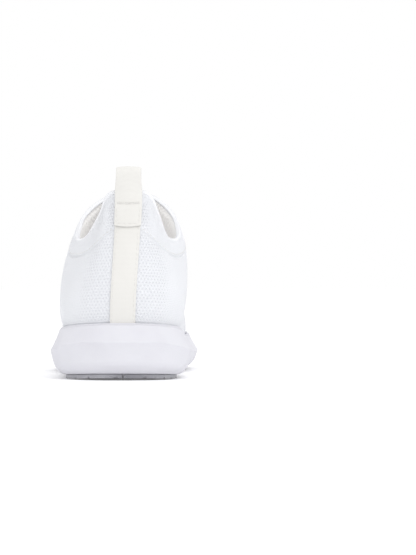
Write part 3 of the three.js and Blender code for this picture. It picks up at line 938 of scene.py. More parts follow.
@dataclass(frozen=True)
class FibreFinish:
    """Pressed fibre, open foam or fleece: speckled and soft."""

    name: str
    body: Colour
    speck: Colour
    scale: float
    depth: float = 0.0002
    roughness: float = 0.95

    def make(self) -> bpy.types.Material:
        """The material."""
        g = Graph(self.name)
        specks = g.cells(self.scale)
        fibres = g.noise(self.scale * 1.4, 5)
        g.bump(g.add(g.multiply(specks, 0.6), g.multiply(fibres, 0.4)), self.depth, 0.8)
        g.colour(g.blend(g.ramp(fibres, 0.35, 0.65), self.speck, self.body))
        g.gloss(self.roughness, sheen=0.1, specular=0.2)
        return g.material


@dataclass(frozen=True)
class ThreadFinish:
    """Twisted sewing thread."""

    name: str
    thread: Colour
    # Painted shade in the grooves of the twist.
    shade: Colour

    def make(self) -> bpy.types.Material:
        """The material."""
        g = Graph(self.name)
        twist = g.noise(4200, 2)
        g.bump(twist, 0.0001, 0.7)
        # Painted shade: darker in the grooves of the twist.
        g.colour(g.blend(g.ramp(twist, 0.3, 0.7), self.shade, self.thread))
        g.gloss(0.55, sheen=0.15, specular=0.4)
        return g.material


class Finish(Enum):
    """The finishes of the shoe."""

    # The second colour of the knit, edge, ribbon, lining, liner and thread finishes is painted shade for
    # their grooves, valleys or openings; the knit's third colour is painted shade in its pits.
    KNIT = KnitFinish("white_knit", (0.865, 0.88, 0.915), (0.79, 0.80, 0.835), (0.73, 0.74, 0.785))
    EDGE = RibFinish("folded_knit_edge", (0.855, 0.865, 0.89), (0.78, 0.785, 0.815))
    FOAM = MouldedFinish(
        "moulded_foam", (0.675, 0.675, 0.717), (0.65, 0.648, 0.692), (0.50, 0.48, 0.47), roughness=0.62
    )
    RUBBER = MouldedFinish(
        "outsole_rubber",
        (0.45, 0.45, 0.48),
        (0.40, 0.40, 0.43),
        (0.30, 0.29, 0.28),
        roughness=0.5,
        grain=1300,
        depth=0.00015,
        dust_height=0.0015,
    )
    RIBBON = RibbonFinish("cream_ribbon", (0.75, 0.74, 0.715), (0.65, 0.64, 0.61))
    # Painted light: the lining cloth glows a little, standing in for daylight through the knit.
    LINING = MeshClothFinish("collar_lining", (0.93, 0.92, 0.91), (0.78, 0.765, 0.755), glow=0.14)
    LINER = MeshClothFinish("sock_liner_cloth", (0.66, 0.65, 0.65), (0.48, 0.47, 0.47), (0.003, 0.0026))
    PADDING = FibreFinish("collar_foam", (0.80, 0.76, 0.62), (0.66, 0.62, 0.50), 900)
    STIFFENER = FibreFinish("stiffener_sheet", (0.66, 0.62, 0.54), (0.55, 0.51, 0.44), 500, 0.0001, 0.7)
    BOARD = FibreFinish("strobel_board", (0.80, 0.78, 0.73), (0.68, 0.66, 0.61), 700)
    THREAD = ThreadFinish("sewing_thread", (0.79, 0.78, 0.755), (0.62, 0.61, 0.59))


class Wardrobe:
    """Makes each finish once and puts it on pieces."""

    def __init__(self) -> None:
        """Starts with nothing made."""
        self.made: dict[Finish, bpy.types.Material] = {}

    def dress(self, piece: bpy.types.Object, finish: Finish, slot: str | None = None) -> bpy.types.Object:
        """Gives a piece its finish.

        Args:
            piece: The object.
            finish: The finish that it takes.
            slot: Not used.

        Returns:
            The same object.
        """
        if finish not in self.made:
            self.made[finish] = finish.value.make()
        piece.data.materials.clear()
        piece.data.materials.append(self.made[finish])
        return piece


@dataclass
class Flex:
    """The bend at the ball of the foot, for the pieces that cross it."""

    last: Last
    reach: float = 32.0

    def bend(self, piece: bpy.types.Object) -> None:
        """Works out the ends of the bend at the ball, which are not used, and bakes the piece's place into
        its mesh.
        """
        sizes = self.last.sizes
        middle = np.array([0.0, sizes.flex_station * self.last.along, sizes.forefoot_edge])
        forward = unit(np.array([[-sizes.flex_slant, 1.0, 0.0]]))[0] * self.reach
        start, end = self.last.placed(np.array([middle - forward, middle + forward]))
        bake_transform(piece)


# Sub-assemblies


@dataclass
class KnitUpper:
    """The sock-like upper and its folded collar edge.

    Attributes:
        cut: Width, length and area of the knit before it is pulled over the last, in metres; not used.
    """

    last: Last
    flex: Flex
    wardrobe: Wardrobe
    rows_up: int = 132
    heel_reach: float = 34.0
    pit_pitch: tuple[float, float] = (2.2, 1.9)
    pit_depth: float = 0.15
    vent_pitch: tuple[float, float] = (5.0, 4.2)
    rib_pitch: float = 3.2
    cut: tuple[float, float, float] = (0.29, 0.30, 0.042)

    def seam_height(self, row: np.ndarray) -> np.ndarray:
        """Height of the seam that runs down from the tape and forward under the collar."""
        lip = self.last.sizes.heel_lip
        rises = [(0.3, 57.5), (0.7, 54.8), (1.45, 47.5), (2.1, 42.2), (2.7, 40.3), (3.4, 40.5), (4, 42)]
        rises += [(5, 47), (6, 57.5), (7, 68.5), (8, 73)]
        return lip + level_curve(rises)(row)

    def relief(self, row, around, up, below, height) -> tuple[np.ndarray, np.ndarray]:
        """How far the knit's surface stands in or out.

        Args:
            row: Pattern row of each point.
            around: Signed distance from the heel's middle line.
            up: Distance above the sole's lip.
            below: Distance below the top edge or the ridge.
            height: Height above the ground.

        Returns:
            The distance in millimetres, and how much of the pitted knit there is, from 0 to 1.
        """
        apart = np.abs(around)
        past_seam = self.seam_height(row) - height
        under = smooth(past_seam, 0.8, 2.4)
        heel = smooth(apart, self.heel_reach, self.heel_reach - 12)
        near_tape = smooth(apart, 19, 13) * smooth(below, 3, 7) * smooth(past_seam, -0.8, -2.4)
        pitted = heel * np.maximum(under, near_tape) * smooth(up, 0.5, 3)
        pits = staggered(around, up, self.pit_pitch, 0.36)
        stand = -self.pit_depth * pits * pitted
        on_collar = smooth(row, 8.3, 7.6) * smooth(apart, 6.5, 8.5)
        stand += on_collar * (0.3 * smooth(past_seam, 0.5, -0.2) - 0.45 * bell(past_seam - 0.35, 0.45))
        instep = smooth(row, 7.6, 8.8) * smooth(below, 27, 20) * smooth(row, 13.2, 11.6)
        stand += 0.2 * instep * np.cos(2 * np.pi * below / self.rib_pitch)
        toe = smooth(row, 10.2, 11.2) * smooth(below, 30, 27) * smooth(up, 12, 16) * (1 - instep)
        stand -= 0.4 * toe * staggered(around, up, self.vent_pitch, 0.27)
        slack = 0.22 * np.sin(around / 23.0 + up / 31.0) * np.sin(up / 17.0 - around / 41.0)
        stand += slack * smooth(below, 2, 24) * smooth(row, 14.2, 12)
        end = self.last.last_row
        joined = smooth(up, 0, 2) * smooth(below, 0, 1.2) * smooth(row, end, end - 0.4)
        return stand * joined, np.maximum(pitted, 0.0)

    def build_shell(self) -> bpy.types.Object:
        """The knit shell: outer face, edges and inner face in one closed sheet."""
        last, sizes = self.last, self.last.sizes
        tuck = np.array([-1.0, -0.5])
        outer = np.concatenate([tuck, np.linspace(0, 1, self.rows_up)])
        inner = np.concatenate([np.linspace(1, 0, 26), [-1.0]])
        places = np.concatenate([outer, inner, [-1.0]])
        inside = np.concatenate([np.zeros(len(outer)), np.ones(len(inner)), [0.0]])
        columns = spread(last, 0.62, 1.7, self.heel_reach)
        sheet = Sheet(columns, len(places))
        v, depth = places[sheet.row], inside[sheet.row] * sizes.knit
        row = last.row(sheet.u)
        skin = last.skin(sheet.u, v)
        front = row >= last.collar_row - 1e-6
        shared = (smooth(v, 0.95, 1.0) * front)[:, None] / 2
        normal = unit(last.normal(sheet.u, v) * (1 - shared) + last.normal(-sheet.u, v) * shared)
        around = around_length(last, sheet.u)
        walked = lengths_up(skin, sheet)
        start = np.zeros(sheet.count)
        top = np.zeros(sheet.count)
        at_lip, at_top = sheet.row == len(tuck), sheet.row == len(outer) - 1
        start[sheet.column[at_lip]] = walked[at_lip]
        top[sheet.column[at_top]] = walked[at_top]
        up = np.where(inside[sheet.row] > 0, 0, walked - start[sheet.column])
        below = top[sheet.column] - walked
        stand, pitted = self.relief(row, around, np.maximum(up, 0), below, skin[:, 2])
        on_face = (inside[sheet.row] == 0) & (v > 0)
        points = skin + normal * np.where(on_face, stand, -depth)[:, None]
        sheet.lay(last.placed(points))
        sheet.map(around * MM, walked * MM)
        sheet.paint("relief", pitted * on_face)
        rim = (v == 1) & front
        sheet.drop(lambda i: rim[i])
        shell = sheet.done("knit_upper")
        self.wardrobe.dress(shell, Finish.KNIT, "knit")
        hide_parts("knit_upper_rear", "knit_upper_forefoot", "vamp_flex_zone")
        self.flex.bend(shell)
        return shell

    def build_edge(self) -> bpy.types.Object:
        """The folded edge that runs round the collar."""
        last, sizes = self.last, self.last.sizes
        reach = last.collar_row / last.last_row
        columns = np.linspace(-reach, reach, 300)
        outside, inside, height, fold = 0.16, sizes.knit + sizes.lining + 0.35, 2.0, 0.9
        profile = [(outside, height), (outside + 0.12, height * 0.55), (outside, fold * 0.4)]
        turns = 10
        middle, radius = (outside - inside) / 2, (outside + inside) / 2
        for k in range(turns + 1):
            angle = math.pi * k / turns
            profile.append((middle + radius * math.cos(angle), 0.3 - fold * math.sin(angle)))
        profile += [(-inside, fold * 0.4), (-inside - 0.1, height * 0.6), (-inside + 0.2, height)]
        profile += [(-inside + 0.7, height), (outside - 0.6, height), (outside, height)]
        shape = np.array(profile)
        sheet = Sheet(columns, len(shape))
        top, normal, down = collar_frame(last, sheet.u)
        out, drop = shape[sheet.row].T
        points = top + normal * out[:, None] + down * drop[:, None]
        sheet.lay(last.placed(points))
        walked = np.interp(sheet.u, columns, collar_run(last, columns))
        sheet.map(walked * MM, lengths_up(points, sheet) * MM)
        edge = sheet.done("collar_edge")
        self.wardrobe.dress(edge, Finish.EDGE, "knit")
        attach(edge, REAR)
        return edge

    def build(self) -> list[bpy.types.Object]:
        """All of the knit."""
        return [self.build_shell(), self.build_edge()]


def staggered(across, up, pitch: tuple[float, float], size: float) -> np.ndarray:
    """Round dimples on a staggered grid: 1 in a dimple and 0 between dimples."""
    line = up / pitch[1]
    shifted = across / pitch[0] + 0.5 * (np.floor(line) % 2)
    distance = np.hypot(shifted % 1 - 0.5, line % 1 - 0.5)
    return smooth(distance, size, size * 0.4)


def collar_frame(last: Last, u: np.ndarray) -> tuple[np.ndarray, np.ndarray, np.ndarray]:
    """The collar's edge with its outward direction and its direction down the wall.

    Args:
        last: The shoe's shape.
        u: Places round the shoe, as far as the front of the collar.

    Returns:
        Points of the edge, and the two directions there.
    """
    limit = last.collar_row / last.last_row
    inside = np.clip(u, -limit + 1e-4, limit - 1e-4)
    top = last.loop_point(last.collar_curve, u, last.collar_row)
    step = 2e-3

    def run_point(place):
        """Points of the edge, which closes on itself at the limit."""
        turned = np.where(place > limit, place - 2 * limit, place)
        turned = np.where(place < -limit, place + 2 * limit, turned)
        return last.loop_point(last.collar_curve, turned, last.collar_row)

    run = unit(run_point(u + step) - run_point(u - step))
    normal = last.normal(inside, np.ones_like(u))
    crown = last.normal(np.full_like(u, limit), np.ones_like(u))
    share = smooth(last.row(u), last.collar_row - 0.6, last.collar_row)[:, None]
    normal = unit(normal * (1 - share) + crown * share)
    normal = unit(normal - run * np.sum(normal * run, axis=1, keepdims=True))
    return top, normal, unit(np.cross(normal, run))


def collar_run(last: Last, u: np.ndarray) -> np.ndarray:
    """Distance along the collar's edge at each u of a rising list."""
    points = last.loop_point(last.collar_curve, u, last.collar_row)
    return np.concatenate([[0], np.cumsum(np.linalg.norm(np.diff(points, axis=0), axis=1))])


@dataclass
class CollarLining:
    """The padded lining inside the heel, the collar and the instep."""

    last: Last
    flex: Flex
    wardrobe: Wardrobe
    front_row: float = 10.5

    def depth(self, row: np.ndarray, v: np.ndarray) -> np.ndarray:
        """How deep the lining's hidden face lies under the skin, over the counter and the pads."""
        counter = 1.85 * smooth(row, 4.3, 3.5) * smooth(v, 0.62, 0.56)
        along, up = (row - 0.5) / 6, (v - 0.62) / 0.31
        crown = np.sin(np.pi * np.clip(along, 0, 1)) ** 0.6 * np.sin(np.pi * np.clip(up, 0, 1))
        edge = smooth(row, 0.0, 0.5) * smooth(row, 7.2, 6.5) * smooth(v, 0.55, 0.62) * smooth(v, 0.985, 0.93)
        pads = (1.55 + 2.6 * crown) * edge
        return self.last.sizes.knit + 0.12 + np.maximum(counter, pads)

    def build(self) -> bpy.types.Object:
        """The lining as one closed sheet."""
        last, sizes = self.last, self.last.sizes
        limit = self.front_row / last.last_row
        columns = np.linspace(-limit, limit, 241)
        hidden = np.concatenate([[-0.9], np.linspace(0, 1, 40)])
        shown = np.concatenate([np.linspace(1, 0, 70), [-0.9]])
        places = np.concatenate([hidden, shown, [-0.9]])
        inside = np.concatenate([np.zeros(len(hidden)), np.ones(len(shown)), [0.0]])
        sheet = Sheet(columns, len(places))
        v, row = places[sheet.row], last.row(sheet.u)
        depth = self.depth(row, v) + inside[sheet.row] * sizes.lining
        points = last.layer(sheet.u, v, -depth)
        sheet.lay(last.placed(points))
        sheet.map(around_length(last, sheet.u) * MM, lengths_up(points, sheet) * MM)
        rim = (v == 1) & (row >= last.collar_row - 1e-6)
        sheet.drop(lambda i: rim[i])
        lining = sheet.done("quarter_lining_padded")
        close_ends(lining)
        self.wardrobe.dress(lining, Finish.LINING, "lining")
        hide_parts("quarter_lining")
        self.flex.bend(lining)
        return lining


def close_ends(piece: bpy.types.Object) -> None:
    """Fills the open ends of a folded sheet with one strip of faces each.

    Args:
        piece: The folded sheet; its faces are turned outwards as well.
    """
    bm = bmesh.new()
    bm.from_mesh(piece.data)
    open_edges = [edge for edge in bm.edges if edge.is_boundary]
    if open_edges:
        bmesh.ops.holes_fill(bm, edges=open_edges, sides=0)
        bmesh.ops.triangulate(bm, faces=[face for face in bm.faces if len(face.verts) > 4])
    bmesh.ops.recalc_face_normals(bm, faces=bm.faces)
    bm.to_mesh(piece.data)
    bm.free()


@dataclass(frozen=True)
class RingRow:
    """One row of a plate or tray in the sole: a distance outside the feather line and a height."""

    offset: Callable[[np.ndarray], np.ndarray] | float
    height: Callable[[np.ndarray, np.ndarray], np.ndarray]
    inward: float = 0.0


def sole_body(last: Last, name: str, columns: np.ndarray, rows: Sequence[RingRow]) -> bpy.types.Object:
    """A closed body in the sole, from the middle of its underside out, up and in to the middle of its top.

    Args:
        last: The shoe's shape.
        name: The piece's name.
        columns: Places round the shoe.
        rows: The rings in order. Each one's inward share brings its points towards the middle line.

    Returns:
        The piece, with a UV map that follows the plan.
    """
    sheet = Sheet(columns, len(rows))
    points = np.zeros((len(sheet.u), 3))
    for k, ring in enumerate(rows):
        here = sheet.row == k
        u = sheet.u[here]
        station = last.station(last.loop_point(last.feather_curve, u, last.last_row))
        offset = ring.offset(station) if callable(ring.offset) else ring.offset
        edge = last.sole_edge(u, offset, np.zeros_like)
        other = last.sole_edge(-u, offset, np.zeros_like)
        placed = edge + (other - edge) * ring.inward / 2
        placed[:, 2] = ring.height(last.station(placed), u)
        points[here] = placed
    sheet.lay(last.placed(points))
    sheet.map(points[:, 0] * MM, points[:, 1] * MM)
    return sheet.done(name)


@dataclass
class Midsole:
    """The flared foam midsole with its sharp widest edge, heel crease and lip."""

    last: Last
    flex: Flex
    wardrobe: Wardrobe
    groove_depth: float = 1.6

    def underside(self, station: np.ndarray, _u: np.ndarray) -> np.ndarray:
        """Height of the underside over the outsole."""
        sizes = self.last.sizes
        plain = self.last.tread(station) + sizes.outsole + sizes.gap
        groove = bell(station - sizes.flex_station, 2.2) * self.groove_depth
        return plain + groove

    def belly(self, share: float) -> Callable[[np.ndarray], np.ndarray]:
        """How far out the lower wall stands at a share of its height, by station: hollow round the heel."""
        flare = self.last.sizes.flare
        full = [(0, -0.4), (0.03, 0.6), (0.1, 1.8), (0.2, 2.9), (0.42, 4.7), (0.77, 6.1), (1, flare)]
        hollow = [(0, -0.4), (0.03, 1), (0.1, 3), (0.2, 4.7), (0.32, 5.4), (0.55, 4.9), (0.85, 5.9)]
        side, back = level_curve(full), level_curve([*hollow, (1, flare)])
        at_side, at_back = float(side(np.array(share))), float(back(np.array(share)))
        return lambda station: at_side + (at_back - at_side) * smooth(station, 40, 4)

    def side_rows(self) -> list[RingRow]:
        """The side wall, from the underside's edge up to the lip and down inside it."""
        flare = self.last.sizes.flare
        rows = []

        def lower(share: float) -> Callable[[np.ndarray, np.ndarray], np.ndarray]:
            """Heights between the underside and the widest edge."""

            def height(station, u):
                low = self.underside(station, u)
                return low + (self.last.edge(station) - low) * share

            return height

        def upper(share: float, drop: float = 0.0) -> Callable[[np.ndarray, np.ndarray], np.ndarray]:
            """Heights between the widest edge and the lip, less a drop."""

            def height(station, _u):
                low = self.last.edge(station)
                return low + (self.last.lip(station) - low) * share - drop

            return height

        for share in (0.0, 0.02, 0.06, 0.12, 0.2, 0.3, 0.4, 0.5, 0.6, 0.7, 0.8, 0.88, 0.94, 0.975, 1.0):
            rows.append(RingRow(self.belly(share), lower(share)))
        for share in (0.03, 0.08, 0.16, 0.26, 0.36, 0.46, 0.56, 0.66, 0.76, 0.85, 0.92):
            slope = flare + (0.75 - flare) * share - 0.35 * math.sin(math.pi * share)
            rows.append(RingRow(slope, upper(share)))
        rows += [
            RingRow(0.72, upper(1.0, 1.1)),
            RingRow(0.6, upper(1.0, 0.45)),
            RingRow(0.3, upper(1.0, 0.1)),
            RingRow(-0.2, upper(1.0)),
            RingRow(-0.7, upper(1.0, 0.1)),
            RingRow(-0.98, upper(1.0, 0.5)),
            RingRow(-1.0, upper(1.0, 2.0)),
        ]
        return rows

    def build(self) -> bpy.types.Object:
        """The midsole as one closed body."""

        def bed(station, _u):
            """Height of the bed that the board lies on."""
            return self.last.lip(station) - self.last.cup(station)

        shares = [1, 0.85, 0.7, 0.55, 0.4, 0.25, 0.12]
        rows = [RingRow(-0.4, self.underside, share) for share in shares]
        rows += self.side_rows()
        rows += [RingRow(-1.0, bed)]
        rows += [RingRow(-1.0, bed, share) for share in (0.3, 0.65, 1.0)]
        columns = spread(self.last, 1.2, 1.7, 40)
        midsole = sole_body(self.last, "midsole", columns, rows)
        self.wardrobe.dress(midsole, Finish.FOAM, "midsole_foam")
        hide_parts("midsole_rear", "midsole_forefoot")
        self.flex.bend(midsole)
        return midsole


@dataclass
class FootBed:
    """The strobel board and the cupped sock liner on it."""

    last: Last
    flex: Flex
    wardrobe: Wardrobe
    board: float = 1.2
    liner: float = 4.5
    heel_cup: float = 8.0
    forefoot_cup: float = 5.2

    def inset(self, extra: float) -> Callable[[np.ndarray], np.ndarray]:
        """How far inside the feather line the layers end."""
        return lambda station: -(5.8 - 2.3 * smooth(station, 152, 176)) - extra

    def above_bed(self, rise) -> Callable[[np.ndarray, np.ndarray], np.ndarray]:
        """A height above the midsole's bed; the rise may depend on the station."""
        return lambda station, u: (
            self.last.lip(station) - self.last.cup(station) + (rise(station) if callable(rise) else rise)
        )

    def build(self) -> list[bpy.types.Object]:
        """Both layers."""
        columns = spread(self.last, 2.0, 2.6, 30)
        gap = self.last.sizes.gap
        low, high = self.above_bed(gap), self.above_bed(gap + self.board)
        rows = [RingRow(self.inset(0), low, share) for share in (1, 0.5, 0)]
        rows += [RingRow(self.inset(0), high, share) for share in (0, 0.5, 1)]
        board = sole_body(self.last, "strobel_board", columns, rows)
        self.wardrobe.dress(board, Finish.BOARD, "board")
        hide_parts("strobel_board_rear", "strobel_board_forefoot")
        self.flex.bend(board)
        return [board, self.build_liner(columns)]

    def build_liner(self, columns: np.ndarray) -> bpy.types.Object:
        """The sock liner: soft, cupped at its edges and dished under the heel."""
        base = 2 * self.last.sizes.gap + self.board
        cups = [(0, self.heel_cup), (80, self.heel_cup), (150, self.forefoot_cup), (273, self.forefoot_cup)]
        cup = level_curve(cups)

        def top(share: float) -> Callable[[np.ndarray], np.ndarray]:
            """Rise of the liner's face at a share of its cup."""
            return lambda station: base + self.liner + (cup(station) - self.liner) * share

        rows = [RingRow(self.inset(0.3), self.above_bed(base), share) for share in (1, 0.6, 0.25, 0)]
        rows += [RingRow(self.inset(0.3), self.above_bed(lambda s: base + cup(s) * 0.5))]
        brim = ((0.35, 0.94), (0.7, 1.0), (1.3, 0.97), (2.0, 0.72), (3.2, 0.4), (4.8, 0.16), (6.6, 0.04))
        for extra, share in brim:
            rows.append(RingRow(self.inset(extra), self.above_bed(top(share))))
        for inward in (0.15, 0.35, 0.55, 0.8, 1.0):
            rows.append(RingRow(self.inset(6.6), self.above_bed(base + self.liner), inward))
        liner = sole_body(self.last, "sock_liner", columns, rows)
        self.wardrobe.dress(liner, Finish.LINER, "liner_cloth")
        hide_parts("sock_liner_rear", "sock_liner_forefoot")
        self.flex.bend(liner)
        return liner


@dataclass
class Outsole:
    """Rubber pods under the foam, cut by slanted grooves into lugs."""

    last: Last
    flex: Flex
    wardrobe: Wardrobe
    groove: float = 1.1
    depth: float = 1.3
    pitch: float = 11.0

    def cut_grooves(self, bm: bmesh.types.BMesh, heading: float, phase: float) -> None:
        """Cuts V grooves into the tread, parallel to a heading.

        Args:
            bm: The pod.
            heading: The grooves' turn from the shoe's width, in radians.
            phase: Shift of the first groove, as a share of the pitch.
        """
        normal = Vector((math.sin(heading), math.cos(heading), 0))
        reach = [vert.co.dot(normal) / MM for vert in bm.verts]
        first = math.ceil(min(reach) / self.pitch - phase)
        last = math.floor(max(reach) / self.pitch - phase)
        for k in range(first, last + 1):
            centre = (k + phase) * self.pitch
            if centre - min(reach) < 3 or max(reach) - centre < 3:
                continue
            for side in (-self.groove, 0.0, self.groove):
                bmesh.ops.bisect_plane(
                    bm,
                    geom=[*bm.verts, *bm.edges, *bm.faces],
                    dist=1e-7,
                    plane_co=normal * (centre + side) * MM,
                    plane_no=normal,
                )
            for vert in bm.verts:
                on_line = abs(vert.co.dot(normal) / MM - centre) < 1e-3
                if on_line and self.on_tread(vert.co):
                    vert.co.z += self.depth * MM

    def close_heel(self, bm: bmesh.types.BMesh) -> None:
        """Draws the two heel pods together behind the heel, so that they read as one horseshoe.

        Args:
            bm: One of the two pods.
        """
        middle, back = self.last.origin[0], self.last.origin[1]
        for station in (10, 16, 22, 28):
            bmesh.ops.bisect_plane(
                bm,
                geom=[*bm.verts, *bm.edges, *bm.faces],
                dist=1e-7,
                plane_co=(0, back + station * MM, 0),
                plane_no=(0, 1, 0),
            )
        for vert in bm.verts:
            across = vert.co.x - middle
            station = (vert.co.y - back) / MM
            if abs(across) < 3.6 * MM:
                vert.co.x = middle + across * float(0.12 + 0.88 * smooth(np.array(station), 14, 30))

    def on_tread(self, place: Vector) -> bool:
        """Whether a point lies on the tread surface."""
        station = (place.y - self.last.origin[1]) / MM / self.last.along
        return abs(place.z / MM - float(self.last.tread(np.array([station]))[0])) < 0.45

    def build_pod(self, node: str) -> bpy.types.Object:
        """One pod with its grooves.

        Args:
            node: The CAD node that it stands for.

        Returns:
            The pod.
        """
        bm = bmesh.new()
        bm.from_mesh(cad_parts[node].data)
        bmesh.ops.remove_doubles(bm, verts=bm.verts, dist=1e-6)
        bmesh.ops.dissolve_limit(bm, angle_limit=math.radians(0.5), verts=bm.verts, edges=bm.edges)
        if "heel" in node:
            self.close_heel(bm)
        self.cut_grooves(bm, math.radians(28), 0.5)
        self.cut_grooves(bm, math.radians(-28), 0.5)
        mesh = bpy.data.meshes.new(node + "_tread")
        bm.to_mesh(mesh)
        bm.free()
        pod = bpy.data.objects.new(node + "_tread", mesh)
        bpy.context.scene.collection.objects.link(pod)
        soften = pod.modifiers.new("soften", "BEVEL")
        soften.width = 0.0003
        soften.segments = 2
        soften.limit_method = "ANGLE"
        soften.angle_limit = math.radians(35)
        self.wardrobe.dress(pod, Finish.RUBBER, "outsole_rubber")
        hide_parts(node)
        return pod

    def build(self) -> list[bpy.types.Object]:
        """All the pods."""
        pods = []
        for node in sorted(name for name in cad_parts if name.startswith("outsole_")):
            pod = self.build_pod(node)
            if "ball" in node or "forefoot" in node:
                self.flex.bend(pod)
            else:
                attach(pod, FOREFOOT if "toe" in node else REAR)
            pods.append(pod)
        return pods


@dataclass(frozen=True)
class Stitch:
    """A straight stitch of thread: its ends and the direction out of the cloth."""

    start: np.ndarray
    end: np.ndarray
    out: np.ndarray


def sewn(name: str, stitches: Sequence[Stitch], thickness: float) -> bpy.types.Object:
    """Stitches as one piece, each a small rounded bar.

    Args:
        name: The piece's name.
        stitches: The stitches, in frame metres.
        thickness: The thread's diameter in metres.

    Returns:
        The piece.
    """
    bm = bmesh.new()
    for stitch in stitches:
        run = Vector(stitch.end - stitch.start)
        length = run.length
        run.normalize()
        out = Vector(stitch.out).normalized()
        side = out.cross(run).normalized()
        out = run.cross(side)
        turn = Matrix((side, out, run)).transposed().to_4x4()
        size = Matrix.Diagonal((thickness / 2, thickness / 2.4, length / 2, 1))
        middle = Matrix.Translation(Vector((stitch.start + stitch.end) / 2))
        bmesh.ops.create_uvsphere(bm, u_segments=8, v_segments=6, radius=1.0, matrix=middle @ turn @ size)
    return finish_mesh(bm, name)


